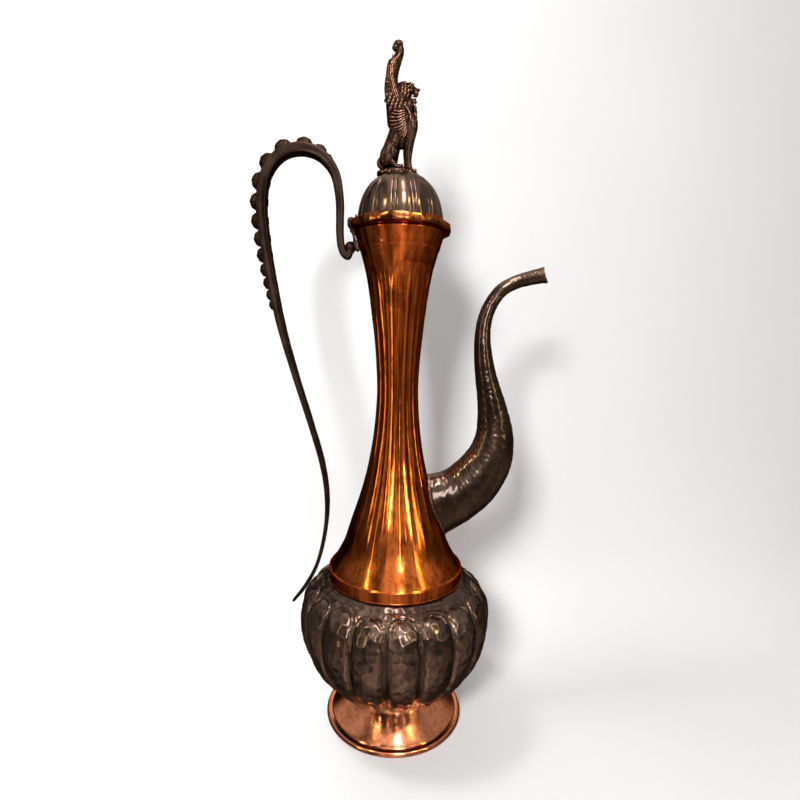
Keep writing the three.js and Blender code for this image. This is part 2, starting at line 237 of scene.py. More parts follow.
class Clay:
    """Closed lumps gathered in one mesh, which can be fused into a single skin."""

    def __init__(self):
        self.points = []
        self.faces = []

    def ball(self, size, centre, tilt=0.0, lean=0.0, rows=14, columns=20):
        """An ellipsoid, tilted about Y and then leant about X, in radians."""
        turn = Matrix.Rotation(lean, 3, "X") @ Matrix.Rotation(tilt, 3, "Y")
        base = len(self.points)
        for i in range(1, rows):
            a = math.pi * i / rows
            for j in range(columns):
                b = 2 * math.pi * j / columns
                p = Vector((
                    size[0] * math.sin(a) * math.cos(b),
                    size[1] * math.sin(a) * math.sin(b),
                    size[2] * math.cos(a),
                ))
                self.points.append(tuple(turn @ p + Vector(centre)))
        for quad in grid_faces(rows - 1, columns, False):
            self.faces.append(tuple(base + v for v in quad))
        for ring, side in ((0, 1), (rows - 2, -1)):
            self.points.append(tuple(turn @ Vector((0, 0, side * size[2])) + Vector(centre)))
            tip = len(self.points) - 1
            for j in range(columns):
                k = (j + 1) % columns
                self.faces.append((base + ring * columns + j, base + ring * columns + k, tip))

    def limb(self, stops, steps=14, sides=12):
        """A tapered limb; stops are (x, y, z, radius across x and z, radius across y)."""
        base = len(self.points)
        for i in range(steps + 1):
            t = i / steps
            here = curve(stops, t)
            ahead, behind = curve(stops, min(1, t + 0.02)), curve(stops, max(0, t - 0.02))
            along = Vector((ahead - behind)[:3]).normalized()
            across = along.cross(Vector((0, 1, 0)))
            across = across.normalized() if across.length > 0.05 else Vector((1, 0, 0))
            over = across.cross(along).normalized()
            end = min(i, steps - i)
            round_off = 0.55 if end == 0 else (0.86 if end == 1 else 1.0)
            for j in range(sides):
                b = 2 * math.pi * j / sides
                p = Vector(here[:3]) + across * here[3] * round_off * math.cos(b)
                p += over * here[4] * round_off * math.sin(b)
                self.points.append(tuple(p))
        for quad in grid_faces(steps + 1, sides, False):
            self.faces.append(tuple(base + v for v in quad))
        for start in (base, base + steps * sides):
            self.faces.append(tuple(range(start, start + sides)))

    def skin(self, voxel, relax):
        """One closed skin round all the lumps."""
        obj = bpy.data.objects.new("clay", new_mesh("clay", self.points, self.faces))
        bpy.context.scene.collection.objects.link(obj)
        remesh = obj.modifiers.new("fuse", "REMESH")
        remesh.mode = "VOXEL"
        remesh.voxel_size = voxel * MM
        smoothing = obj.modifiers.new("relax", "SMOOTH")
        smoothing.factor = 0.5
        smoothing.iterations = relax
        view = bpy.context.evaluated_depsgraph_get()
        out = bpy.data.meshes.new_from_object(obj.evaluated_get(view))
        bpy.data.objects.remove(obj)
        return out


# ---------------------------------------------------------------- materials


class Wiring:
    """A short hand for wiring a node tree."""

    def __init__(self, tree):
        self.tree = tree

    def add(self, kind, inputs=None, **settings):
        """A new node with its settings, its inputs set or linked by name or number."""
        node = self.tree.nodes.new(kind)
        for key, value in settings.items():
            setattr(node, key, value)
        for key, value in (inputs or {}).items():
            self.link(value, node.inputs[key])
        return node

    def link(self, source, target):
        if isinstance(source, (int, float, tuple)):
            target.default_value = source
        else:
            self.tree.links.new(source, target)

    def math(self, operation, a, b):
        return self.add("ShaderNodeMath", {0: a, 1: b}, operation=operation).outputs[0]

    def remap(self, value, low, high, out_low=0.0, out_high=1.0):
        """A smooth step from one number to another while the value goes from low to high."""
        inputs = {"Value": value, "From Min": low, "From Max": high, "To Min": out_low, "To Max": out_high}
        return self.add("ShaderNodeMapRange", inputs, interpolation_type="SMOOTHSTEP").outputs["Result"]

    def blend(self, factor, a, b, kind="MIX"):
        """Colour a turned into colour b; tuples are red, green and blue."""
        a, b = [(*color[:3], 1.0) if isinstance(color, tuple) else color for color in (a, b)]
        inputs = {"Factor": factor, 6: a, 7: b}
        return self.add("ShaderNodeMix", inputs, data_type="RGBA", blend_type=kind).outputs[2]


class Nodes(Wiring):
    """The wiring of one material and its shader."""

    def __init__(self, name):
        self.material = bpy.data.materials.new(name)
        self.material.use_nodes = True
        super().__init__(self.material.node_tree)
        self.shader = self.tree.nodes["Principled BSDF"]
        self.place = self.add("ShaderNodeTexCoord").outputs["Object"]

    def noise(self, scale, detail=4, roughness=0.55, stretch=None):
        vector = self.place
        if stretch:
            mapping = self.add("ShaderNodeMapping", {"Vector": self.place, "Scale": stretch})
            vector = mapping.outputs["Vector"]
        inputs = {"Vector": vector, "Scale": scale, "Detail": detail, "Roughness": roughness}
        return self.add("ShaderNodeTexNoise", inputs).outputs["Fac"]

    def attribute(self, name):
        return self.add("ShaderNodeAttribute", attribute_name=name).outputs["Fac"]

    def edges(self):
        return self.add("ShaderNodeNewGeometry").outputs["Pointiness"]

    def bump(self, height, strength, distance):
        """Bumps laid over any that the shader already has."""
        inputs = {"Height": height, "Strength": strength, "Distance": distance}
        normal = self.shader.inputs["Normal"]
        if normal.links:
            inputs["Normal"] = normal.links[0].from_socket
        self.link(self.add("ShaderNodeBump", inputs).outputs["Normal"], normal)

    def finish(self, color, roughness, metallic=1.0, edge=(1, 1, 1)):
        """Wire the shader; edge is the tint that the metal's mirror takes at grazing angles."""
        inputs = self.shader.inputs
        self.link(color, inputs["Base Color"])
        self.link(roughness, inputs["Roughness"])
        self.link(metallic, inputs["Metallic"])
        self.link((*edge, 1), inputs["Specular Tint"])
        return self.material


def polished_copper(name, bright, deep, stain, gloss):
    """Lacquered copper: warm body, darker streaks up the sheet painted in as a streaked reflection of the
    room, stains and fine scratches.
    """
    n = Nodes(name)
    # darker vertical streaks in the colour, towards the second colour: a painted reflection of the dim room
    painted_streak_reflection = n.noise(1.0, 5, 0.6, stretch=(240, 240, 3))
    patches = n.noise(28, 4, 0.6)
    color = n.blend(n.remap(painted_streak_reflection, 0.43, 0.64, 0, 0.8), bright, deep)
    marked = n.math("MULTIPLY", n.remap(patches, 0.5, 0.57), n.attribute("relief"))
    color = n.blend(n.math("MAXIMUM", marked, n.remap(patches, 0.6, 0.8, 0, 0.3)), color, stain)
    dull = n.remap(patches, 0.35, 0.75, gloss, gloss + 0.1)
    dust = n.remap(n.noise(420, 3, 0.7), 0.55, 0.8, 0, 0.06)
    scratches = n.noise(1.0, 2, 0.5, stretch=(900, 900, 40))
    n.bump(scratches, 0.06, 0.0002)
    n.bump(n.noise(60, 2, 0.4), 0.1, 0.0012)
    return n.finish(color, n.math("ADD", dull, dust), 1.0, (0.8, 0.36, 0.2))


def patina_copper(name, dark, light, gloss):
    """Dark brown patina under a clear coat, thicker in the recesses and rubbed on the ridges."""
    n = Nodes(name)
    cloud = n.noise(38, 5, 0.62)
    color = n.blend(n.remap(cloud, 0.36, 0.66), dark, light)
    color = n.blend(n.remap(n.edges(), 0.502, 0.54, 0, 0.5), color, (0.36, 0.23, 0.16))
    recess = n.remap(n.attribute("relief"), 0.15, 1.0, 0, 0.85)
    color = n.blend(recess, color, (0.03, 0.019, 0.016))
    dull = n.remap(cloud, 0.3, 0.7, gloss, gloss + 0.1)
    grain = n.remap(n.noise(700, 4, 0.6), 0.4, 0.7, 0, 0.06)
    n.bump(n.noise(110, 2, 0.4), 0.06, 0.0008)
    n.link(0.6, n.shader.inputs["Coat Weight"])
    n.link(0.07, n.shader.inputs["Coat Roughness"])
    return n.finish(color, n.math("ADD", dull, grain), 0.92, (0.5, 0.4, 0.34))


def cast_bronze():
    """Dark antiqued casting, rubbed brown along its edges."""
    n = Nodes("cast_bronze")
    cloud = n.noise(55, 5, 0.6)
    color = n.blend(n.remap(cloud, 0.35, 0.7), (0.019, 0.013, 0.011), (0.055, 0.037, 0.028))
    color = n.blend(n.remap(n.edges(), 0.51, 0.57, 0, 0.42), color, (0.15, 0.09, 0.06))
    grain = n.noise(900, 4, 0.65)
    dull = n.math("ADD", n.remap(cloud, 0.3, 0.7, 0.26, 0.42), n.remap(grain, 0.4, 0.7, 0, 0.1))
    n.bump(grain, 0.14, 0.0003)
    n.bump(n.noise(140, 3, 0.5), 0.12, 0.0007)
    return n.finish(color, dull, 0.95, (0.5, 0.38, 0.3))


def antique_copper():
    """Antiqued casting: nearly black recesses, and bright worn copper on the edges and high points, lightened
    further as a painted highlight.
    """
    n = Nodes("antique_copper")
    cloud = n.noise(90, 5, 0.6)
    color = n.blend(n.remap(cloud, 0.35, 0.7), (0.018, 0.012, 0.011), (0.06, 0.035, 0.027))
    # bright copper on the edges: wear, and a painted highlight standing in for the glints on the casting
    color = n.blend(n.remap(n.edges(), 0.503, 0.545, 0, 0.9), color, (0.6, 0.33, 0.22))
    color = n.blend(n.remap(n.edges(), 0.462, 0.496, 0.95, 0), color, (0.01, 0.006, 0.005))
    grain = n.noise(1300, 4, 0.65)
    dull = n.math("ADD", n.remap(cloud, 0.3, 0.7, 0.2, 0.32), n.remap(grain, 0.4, 0.7, 0, 0.08))
    n.bump(grain, 0.15, 0.00025)
    return n.finish(color, dull, 0.95, (0.5, 0.34, 0.26))


def plain_steel(name, color, deep, gloss):
    """Bare steel with a faint cloud of tarnish."""
    n = Nodes(name)
    cloud = n.noise(120, 5, 0.6)
    tint = n.blend(n.remap(cloud, 0.4, 0.7), color, deep)
    n.bump(n.noise(1500, 3, 0.6), 0.15, 0.0002)
    return n.finish(tint, n.remap(cloud, 0.3, 0.7, gloss, gloss + 0.15))


# the second colour of each polished copper is the dark of its painted streak reflection
COPPER = polished_copper(
    "polished_copper", (0.86, 0.245, 0.05), (0.42, 0.08, 0.018), (0.17, 0.04, 0.014), 0.1
)
BAND = polished_copper("band_copper", (0.6, 0.17, 0.04), (0.3, 0.065, 0.018), (0.1, 0.026, 0.012), 0.15)
RIM = polished_copper("rim_copper", (0.44, 0.15, 0.045), (0.17, 0.045, 0.017), (0.045, 0.016, 0.01), 0.13)
PINK = polished_copper("pink_copper", (0.88, 0.38, 0.21), (0.72, 0.24, 0.1), (0.42, 0.12, 0.045), 0.11)
PATINA = patina_copper("patina_copper", (0.085, 0.054, 0.042), (0.2, 0.14, 0.112), 0.13)
OLIVE = patina_copper("olive_copper", (0.075, 0.046, 0.033), (0.15, 0.1, 0.07), 0.13)
UMBER = patina_copper("umber_copper", (0.045, 0.029, 0.02), (0.1, 0.066, 0.045), 0.17)
BRONZE = cast_bronze()
ANTIQUE = antique_copper()
STEEL = plain_steel("steel_screw", (0.5, 0.48, 0.46), (0.26, 0.22, 0.2), 0.3)
IRON = plain_steel("iron_wire", (0.36, 0.33, 0.31), (0.2, 0.11, 0.07), 0.4)


# ---------------------------------------------------------------- foot


def build_foot():
    """Spun flare with a rolled edge over a wire, and the solder left where the bowl sits."""
    curl, wire, sheet = 2.6, 1.05, 1.2
    rim = FOOT_HIGH.x - curl
    flare = fine([
        (37.4, 24.9), (38.7, 22.8), (42.4, 19.1), (47.8, 14.6), (53.2, 10.3), (57.1, 7.3), (58.6, 6.3),
    ], 60)
    step = [(58.9, 5.75), (59.3, 5.1)]
    hem = [(rim - 3, 0.0), (rim - 5, 0.0), (rim - 5, 1.1), (rim - 3, 1.15)]
    under = [(r - sheet, z - 0.9) for r, z in reversed(flare[:-4:4])]
    under[-1] = (flare[0][0] - sheet, flare[0][1])
    outline = flare + step + arc(rim, curl, curl, 112, -90, 22) + hem
    outline += arc(rim, curl, curl / 2, -90, 90, 10) + under

    def shift(r, z, angle):
        wobble = 0.12 * rough(math.sin(angle) * r, math.cos(angle) * r, z, 24)
        return wobble, 0.0 if z < 4 else 0.5 * wobble, 0.0

    points, faces, _ = lathe(outline, 192, shift)
    piece("foot", points, faces, PINK, "vessel", ["foot"])

    beads, count, ring = Clay(), 26, 38.1
    for i in range(count):
        angle = 2 * math.pi * (i + 0.35 * random.random()) / count
        size = random.uniform(0.5, 1.15)
        beads.ball((size, size, 0.7 * size), turned(ring, angle, 24.2), rows=5, columns=10)
    piece("foot_solder", beads.points, beads.faces, PINK, "vessel")

    points, faces, _ = lathe(arc(rim, curl, wire, 0, 330, 11), 144)
    piece("foot_rim_wire", points, faces, IRON, "vessel", ["foot_rim_wire"])


# ---------------------------------------------------------------- bowl


def bowl_profile():
    """Outer outline from the floor round the belly to the mouth, as (radius, z)."""
    radius = BOWL_HIGH.x
    middle = 99.4
    out = []
    for half, height, bend, low, high in ((-1, 81.7, 1.97, 24, 89.9), (1, 43.1, 2.82, 90, 155)):
        for i in range(120):
            angle = math.radians(mix(low, high, i / 119) - 90)
            across = math.cos(angle) ** (2 / bend)
            up = abs(math.sin(angle)) ** (2 / bend)
            out.append((radius * across, middle + half * height * up))
    return [p for p in out if p[0] > 35.4 or p[1] > middle]


def lobe_height(below_crown, across, half_pitch):
    """Height of the hammered lobe pattern and how deep in a recess the point lies."""
    groove = 3.0
    half = half_pitch - groove
    arch = min(12.5, half)
    rise = max(0.0, arch - below_crown) / arch
    e = ((abs(across) / half) ** 2.3 + rise ** 2.3) ** (1 / 2.3) if below_crown > -arch else 9.0
    depth = (1 - e) * arch
    shoulder = smooth(2, arch + 5, below_crown)
    outside = mix(-1.3, -3.5, shoulder)
    if depth > 0:
        inside = -1.9 * (1 - min(1.0, depth / (0.9 * arch))) ** 2.2
        height = mix(outside, inside, smooth(-0.3, 0.7, depth))
        recess = 0.0
    else:
        height = outside
        recess = smooth(0.2, 1.2, -depth) * shoulder
        ladder = smooth(arch - 3, arch + 1, below_crown) * (1 - smooth(arch + 22, arch + 30, below_crown))
        height += 0.35 * ladder * max(0.0, math.cos(2 * math.pi * below_crown / 1.9))
    line = math.exp(-(((depth + 0.3) / 0.5) ** 2))
    moat = 0.7 * math.exp(-(((depth + 1.9) / 0.8) ** 2)) * smooth(-arch - 4, -arch + 6, below_crown + arch)
    height += 1.15 * line * smooth(-2, 3, below_crown + arch * 0.4)
    return height, max(recess, moat) * (1 - line)


def build_bowl():
    """Hammered globe: close rows of points over the chased crowns, a plain skin inside."""
    crown_z, close_rows, points_per_lobe, belly = 131.0, 72, 38, 99

    def spacing(length):
        marks, s = [], length
        while s > 0:
            marks.append(s)
            s -= 0.5 if s > length - close_rows else 0.9
        return [0.0] + marks[::-1]

    outer, along = resample(bowl_profile(), spacing)
    crown = next(s for (r, z), s in zip(outer, along) if z >= crown_z)
    columns = LOBES * points_per_lobe
    points, relief = [], []
    for i, ((r, z), s) in enumerate(zip(outer, along)):
        before, after = Vector(outer[max(0, i - 1)]), Vector(outer[min(len(outer) - 1, i + 1)])
        tangent = (after - before).normalized()
        normal = Vector((tangent.y, -tangent.x))
        half_pitch = math.pi * r / LOBES
        fade = smooth(26, 46, z) * (1 - smooth(133.5, 136, z))
        hammered = mix(0.6, 0.85, smooth(85, 105, z)) * (1 - 0.65 * smooth(130, 137, z))
        spotted = 1 - smooth(90, 112, z)
        for j in range(columns):
            angle = 2 * math.pi * j / columns
            turn = (angle * LOBES / (2 * math.pi) + 0.5) % 1.0 - 0.5
            height, recess = lobe_height(crown - s, turn * 2 * half_pitch, half_pitch)
            x, y, _ = turned(r, angle, z)
            height *= max(fade, 0.25) if z < 60 else fade
            marks = hammered * (dimple(x, y, z, 7.2) - 0.35) + 0.3 * rough(x, y, z, 12)
            height += marks * (1 - recess) * smooth(24, 34, z)
            out, up = normal * height
            points.append(turned(r + out, angle, z + up))
            spot = 0.7 * spotted * smooth(0.2, 0.32, 0.35 - dimple(y, z, x, 4.4))
            relief.append(max(recess * min(1.0, fade + 0.4), spot))

    def skin(r, z):
        """The point of the inner skin across the wall from a point outside."""
        if abs(z - belly) < 30:
            return r - SHEET, z
        return r - 0.9, z + (0.9 if z < belly else -0.9)

    for r, z in resample([skin(r, z) for r, z in outer][::-1], 30)[0]:
        pull = 3.4 * smooth(34, 52, z) * (1 - smooth(122, 134, z))
        points += [turned(r - pull, 2 * math.pi * j / columns, z) for j in range(columns)]
    rows = len(points) // columns
    faces = grid_faces(rows, columns, False)
    fan(points, faces, 0, columns, BOWL_LOW.z)
    fan(points, faces, (rows - 1) * columns, columns, BOWL_LOW.z + SHEET)
    relief += [0.0] * (len(points) - len(relief))
    piece("bowl", points, faces, PATINA, "vessel", ["bowl"], 60, relief)


def fan(points, faces, start, columns, z):
    """Close a ring of points to a middle point on the axis."""
    points.append((0.0, 0.0, z))
    for j in range(columns):
        faces.append((start + j, start + (j + 1) % columns, len(points) - 1))


# ---------------------------------------------------------------- neck, band and collar

NECK_OUTLINE = [
    (60.2, 147), (49.8, 166), (41.7, 190), (31.8, 220), (23.4, 258),
    (18.9, 305), (20.1, 340), (23.6, 375), (28.8, 410), (35.2, 436.2),
]
NECK_LOW_EDGE = NECK_OUTLINE[0][1]
NECK_CURVE = resample(fine(NECK_OUTLINE, 300), 250)[0]
NECK_HEIGHTS = [z for _, z in NECK_CURVE]


def flute(z, angle):
    """Depth of the flutes: soft arrises between shallow hollows, none quite alike."""
    fade = smooth(150, 205, z) * (1 - smooth(396, 430, z))
    turn = angle * FLUTES / (2 * math.pi)
    which = int(turn + 0.5) % FLUTES
    vary = 0.75 + 0.5 * abs(math.sin(which * 12.9898) * 43.758 % 1.0)
    arris = abs(math.sin(math.pi * turn)) ** 0.8
    return -0.72 * vary * fade * arris


def neck_radius(z):
    """Radius of the plain trumpet at a height."""
    above = min(max(bisect.bisect_left(NECK_HEIGHTS, z), 1), len(NECK_HEIGHTS) - 1)
    (r0, z0), (r1, z1) = NECK_CURVE[above - 1 : above + 1]
    return mix(r0, r1, min(1.0, max(0.0, (z - z0) / (z1 - z0))))


def build_neck():
    """Fluted trumpet with a plain lap at its foot; relief marks where the stains may show."""
    lap = [(60.6, 138.6), (60.6, 140), (60.6, 144), (60.6, 146.4), (60.45, 146.9)]
    inner = [(r - SHEET, z) for r, z in resample(NECK_CURVE[::-1], 70)[0]]
    inner += [(r - SHEET, z - 0.3) for r, z in lap[::-1]]

    def shift(r, z, angle):
        if z < NECK_LOW_EDGE:
            return 0.0, 0.0, 0.0
        x, y, _ = turned(r, angle, z)
        wave = 0.22 * rough(x, y, z * 0.35, 14) + 0.1 * rough(x, y, z, 9)
        stains = 0.8 * smooth(362, 400, z) * (1 - smooth(418, 433, z))
        return flute(z, angle) + wave * smooth(147, 156, z), 0.0, stains

    points, faces, relief = lathe(lap + NECK_CURVE + inner, FLUTES * 20, shift)
    piece("neck", points, faces, COPPER, "vessel", ["neck"], 50, relief)


def build_band():
    """Upright band over the lap of neck and bowl, with a step at its lower edge."""
    r, low, high = BAND_HIGH.x, BAND_LOW.z, BAND_HIGH.z
    outline = [
        (r - 0.2, low), (r, low + 0.3), (r, low + 1.1), (r - 0.45, low + 1.4),
        (r - 0.4, low + 1.8), (r - 0.4, high - 1.2), (r - 0.3, high - 0.5),
        (r - 0.7, high), (r - 1.25, high), (r - 1.3, high - 0.4), (r - 1.3, low + 0.2), (r - 1.1, low),
    ]

    def shift(r, z, angle):
        x, y, _ = turned(r, angle, z)
        return 0.1 * rough(x, y, z, 12), 0.12 * rough(x, y, 0, 25), 0.0

    points, faces, _ = lathe(outline, 256, shift)
    piece("skirt_band", points, faces, BAND, "vessel", ["skirt_band"])


def build_collar():
    """Plain band that carries the trumpet's line up to the mouth, with a folded lip."""
    r, low, high = COLLAR_HIGH.x, COLLAR_LOW.z, COLLAR_HIGH.z
    outside = fine([
        (35.0, low), (35.4, low + 0.9), (36.4, 438), (37.5, 441.5), (38.7, 445.4), (r - 0.2, high - 1.5),
    ], 24)
    lip = [(r, high - 1.2), (r, high - 0.5), (r - 0.35, high), (r - 2, high), (r - 2.4, high - 0.3)]
    inside = [(37.1, 444), (36.7, 440.6), (35.9, 438), (35.3, 436.8), (34.9, low + 0.6), (34.9, low)]

    def shift(r, z, angle):
        x, y, _ = turned(r, angle, z)
        return 0.16 * rough(x, y, z * 0.6, 15), 0.0, 0.0

    points, faces, _ = lathe(outside + lip + inside, 240, shift)
    piece("mouth_collar", points, faces, COPPER, "vessel", ["mouth_collar"])


# ---------------------------------------------------------------- spout

SPOUT = [
    (22, 198, 31, 18.5), (36, 203, 29.5, 18), (57, 212, 26.4, 17.2), (74, 226.5, 25, 16.5),
    (86.6, 245.5, 22, 15.5), (91, 266, 18, 14.2), (90, 282, 15.2, 12.9), (87.5, 297, 13, 11.5),
    (84, 312, 11, 10.3), (80.6, 327, 9.4, 9.2), (78.2, 342, 8.3, 8.3), (77, 359, 7.2, 7.4),
    (78.6, 375, 6.5, 6.8), (84, 389.5, 6.1, 6.3), (93, 401.5, 5.9, 6), (106, 409, 5.9, 5.9),
    (120, 413.3, 6.3, 6.2), (132.6, 416.2, 7, 6.9),
]


class Sweep:
    """Sections square to a path in the XZ plane; stops are (x, z, half height, half width)."""

    def __init__(self, stops, count=400):
        self.samples = [curve(stops, i / count) for i in range(count + 1)]
        self.count = count
        self.length = [0.0]
        for a, b in zip(self.samples, self.samples[1:]):
            self.length.append(self.length[-1] + math.hypot(b[0] - a[0], b[1] - a[1]))

    def place(self, t):
        """The sample before t, from 0 to 1, and how far past it t lies."""
        place = min(max(t, 0.0), 1.0) * self.count
        i = min(int(place), self.count - 1)
        return i, place - i

    def at(self, t):
        """The stop at t and the path's direction there."""
        i, past = self.place(t)
        here = self.samples[i].lerp(self.samples[i + 1], past)
        return here, (self.samples[i + 1] - self.samples[i]).to_2d().normalized()

    def distance(self, t):
        """Length of the path up to t."""
        i, past = self.place(t)
        return mix(self.length[i], self.length[i + 1], past)

    def point(self, t, up, side):
        """up is along the section's height, away from the centre of the bend."""
        here, along = self.at(t)
        return (here[0] - along.y * up, side, here[1] + along.x * up)


def build_spout():
    """Hammered swan neck, open at both ends, that starts where it leaves the neck's surface."""
    sweep = Sweep(SPOUT)
    columns, rows, inner_step = 64, 230, 4

    def section(t, angle, grow):
        here, _ = sweep.at(t)
        up = (here[2] + grow) * math.cos(angle)
        side = (here[3] + grow) * math.sin(angle)
        return sweep.point(t, up, side)

    def leaves_neck(angle, grow):
        for i in range(400):
            x, y, z = section(i / 400, angle, grow)
            if math.hypot(x, y) > neck_radius(z) - 0.5:
                return i / 400
        return 0.0

    def hammered(t, angle, root):
        """How far the surface stands out, and how dark it is, at a distance from the root."""
        x, y, z = section(t, angle, 0.0)
        here, _ = sweep.at(t)
        coarse = smooth(6.5, 16, here[2])
        lift = mix(0.16, 0.4, coarse) * (dimple(x, y, z, 3.1) - 0.35)
        lift += 0.3 * coarse * rough(x, y, z, 11)
        lift += 0.7 * math.exp(-((root / 1.6) ** 2))
        seam = abs(math.atan2(math.sin(angle), math.cos(angle))) * here[2]
        lift += 0.28 * math.exp(-((seam / 0.5) ** 2)) * smooth(0.45, 0.7, t)
        end = sweep.length[-1] - sweep.distance(t)
        lift += 0.35 * math.exp(-(((end - 1.0) / 0.8) ** 2))
        return lift, 0.8 * math.exp(-(((root - 2.6) / 1.1) ** 2))

    points, relief = [], []
    walls = ((True, 0.0, range(rows)), (False, -SHEET, range(rows - 1, -1, -inner_step)))
    for outside, grow, order in walls:
        starts = [leaves_neck(2 * math.pi * j / columns, grow) for j in range(columns)]
        for i in order:
            for j in range(columns):
                angle = 2 * math.pi * j / columns
                t = mix(starts[j], 1.0, i / (rows - 1))
                lift, recess = grow, 0.0
                if outside:
                    root = sweep.distance(t) - sweep.distance(starts[j])
                    lift, recess = hammered(t, angle, root)
                points.append(section(t, angle, lift))
                relief.append(recess)
    # the end is cut hollow at the sides, so that upper and lower lip stand out, the lower more
    for i in range(rows - 3, rows + 2):
        for j in range(columns):
            angle = 2 * math.pi * j / columns
            x, y, z = points[i * columns + j]
            lip = 3.0 * math.cos(angle) ** 2 - 2.1 - 0.5 * math.cos(angle)
            weight = 1.0 if rows - 1 <= i <= rows else 0.5
            points[i * columns + j] = (x + weight * lip, y, z)
    faces = grid_faces(len(points) // columns, columns, True)
    piece("spout", points, faces, UMBER, "vessel", ["spout"], 50, relief)


# ---------------------------------------------------------------- handle

HANDLE = [
    (-96, 111.5, 1.2, 2.2), (-84.3, 126.3, 1.5, 3.2), (-73.8, 146, 1.6, 3.8), (-66.1, 176, 1.9, 4.2),
    (-63.6, 208, 2.3, 4.5), (-67.3, 240, 2.6, 4.7), (-78.5, 281, 2.8, 4.9), (-91.6, 324, 3.1, 5.2),
    (-103.1, 366, 3.8, 5.6), (-110.7, 404, 4.2, 5.9), (-116.4, 440, 4.5, 6.2), (-118.6, 471, 4.7, 6.4),
    (-114.1, 495, 4.8, 6.4), (-101.3, 511, 4.9, 6.4), (-83.8, 516, 5, 6.4), (-67.9, 511, 4.8, 6.2),
    (-57, 498, 4.2, 5.9), (-52.5, 476, 3.7, 5.6), (-52.2, 448, 3.4, 5.4), (-51.2, 437, 3.3, 5.3),
    (-48.7, 430.3, 3.1, 5.2), (-45.6, 428.2, 3, 5.1), (-43.6, 431.6, 2.9, 5), (-43.4, 439, 2.6, 4.8),
]
# half of the strip's section as (outward, sideways) shares: rounded back, flat cheek, inner bead
STRIP_SECTION = [
    (1.0, 0.0), (0.99, 0.3), (0.93, 0.62), (0.82, 0.86), (0.66, 0.97), (0.45, 1.0), (0.15, 0.97),
    (-0.15, 0.95), (-0.42, 0.95), (-0.52, 0.99), (-0.6, 1.06), (-0.7, 1.1), (-0.8, 1.06),
    (-0.88, 0.97), (-0.95, 0.78), (-0.99, 0.45), (-1.0, 0.0),
]
# the row of shells: start is along the sweep, pitch is between the largest, and the sizes fall
# off over so many places before and after the largest
SCALLOPS = {
    "count": 14, "start": 0.6665, "pitch": 17.2, "radius": 8.4, "largest": 3, "before": 3, "after": 11.5,
}


def build_handle():
    """One cast strip, ridged on its cheeks near the top, with a knob at its curled end."""
    sweep = Sweep(HANDLE)
    section = STRIP_SECTION + [(u, -s) for u, s in STRIP_SECTION[-2:0:-1]]
    columns, rows = len(section), 420
    points = []
    for i in range(rows):
        t = i / (rows - 1)
        here, _ = sweep.at(t)
        end = min(sweep.distance(t), sweep.length[-1] - sweep.distance(t))
        taper = min(1.0, 0.35 + 0.65 * (end / 2.2) ** 0.5) if end < 2.2 else 1.0
        ridge = 0.55 * smooth(0.68, 0.72, t) * (1 - smooth(0.93, 0.97, t))
        for u, s in section:
            side = here[3] * taper * s
            side += math.copysign(ridge * math.exp(-(((abs(u) - 0.3) / 0.16) ** 2)), s) if s else 0.0
            x, y, z = sweep.point(t, here[2] * taper * u, side)
            ripple = 0.16 * rough(x, y, z, 9)
            points.append((x + ripple, y + ripple * 0.6, z + 0.5 * ripple))
    faces = grid_faces(rows, columns, False)
    for start in (0, (rows - 1) * columns):
        faces.append(tuple(range(start, start + columns)))
    knob = Clay()
    knob.ball((4.9, 5.6, 5.6), (-43.4, 0, 435.2), 0.2, 0, 20, 32)
    points, faces = combine([(points, faces), (knob.points, knob.faces)])
    piece("handle", points, faces, BRONZE, "vessel", ["handle"], 42)
    build_scallops(sweep)


def build_scallops(sweep):
    """Ribbed half shells peeking out along the outer edge of the arch."""
    g = SCALLOPS

    def share(place):
        """Size of the shell at a place in the row, against the largest."""
        spread = g["before"] if place < g["largest"] else g["after"]
        return math.exp(-(((place - g["largest"]) / spread) ** 2))

    points, faces = [], []
    t = g["start"]
    for i in range(g["count"]):
        size = g["radius"] * share(i) ** 0.6
        offset = 0.26 * size
        shell_at(sweep, t, offset, size, points, faces)
        step = g["pitch"] * share(i + 0.5)
        first = Vector(sweep.point(t, offset, 0))
        while (Vector(sweep.point(t, offset, 0)) - first).length < step:
            t -= 0.0004
    piece("handle_scallops", points, faces, BRONZE, "vessel", (), 60)


def shell_at(sweep, t, offset, size, points, faces):
    """One shell, domed to both sides of the strip and ribbed from its middle outwards."""
    here, along = sweep.at(t)
    centre = Vector(sweep.point(t, offset, 0))
    outward = Vector((-along.y, 0, along.x))
    forward = Vector((along.x, 0, along.y))
    rings, spokes, ribs = 9, 56, 9
    base = len(points)
    thick = 0.72 * here[3]
    for side in (1, -1):
        for i in range(rings):
            share = math.sin(0.5 * math.pi * (i + 0.6) / rings) if i < rings - 1 else 1.0
            for j in range(spokes):
                turn = 2 * math.pi * j / spokes
                rib = abs(math.cos(turn * ribs / 2))
                edge = size * share * (1 - 0.05 * (1 - rib) * share)
                depth = thick * (1 - share ** 2.6) ** 0.6 + 0.35 * rib * share * (1 - share ** 8) + 0.5
                spot = centre + outward * edge * math.cos(turn) + forward * edge * math.sin(turn)
                points.append((spot.x, side * depth, spot.z))
    count = rings * spokes
    for start, order in ((base, 1), (base + count, -1)):
        for quad in grid_faces(rings, spokes, False):
            faces.append(tuple(start + v for v in quad[::order]))
        faces.append(tuple(start + v for v in range(spokes)[::-order]))
    edge = base + (rings - 1) * spokes
    for j in range(spokes):
        k = (j + 1) % spokes
        faces.append((edge + j, edge + k, edge + count + k, edge + count + j))


# ---------------------------------------------------------------- plates and hinge


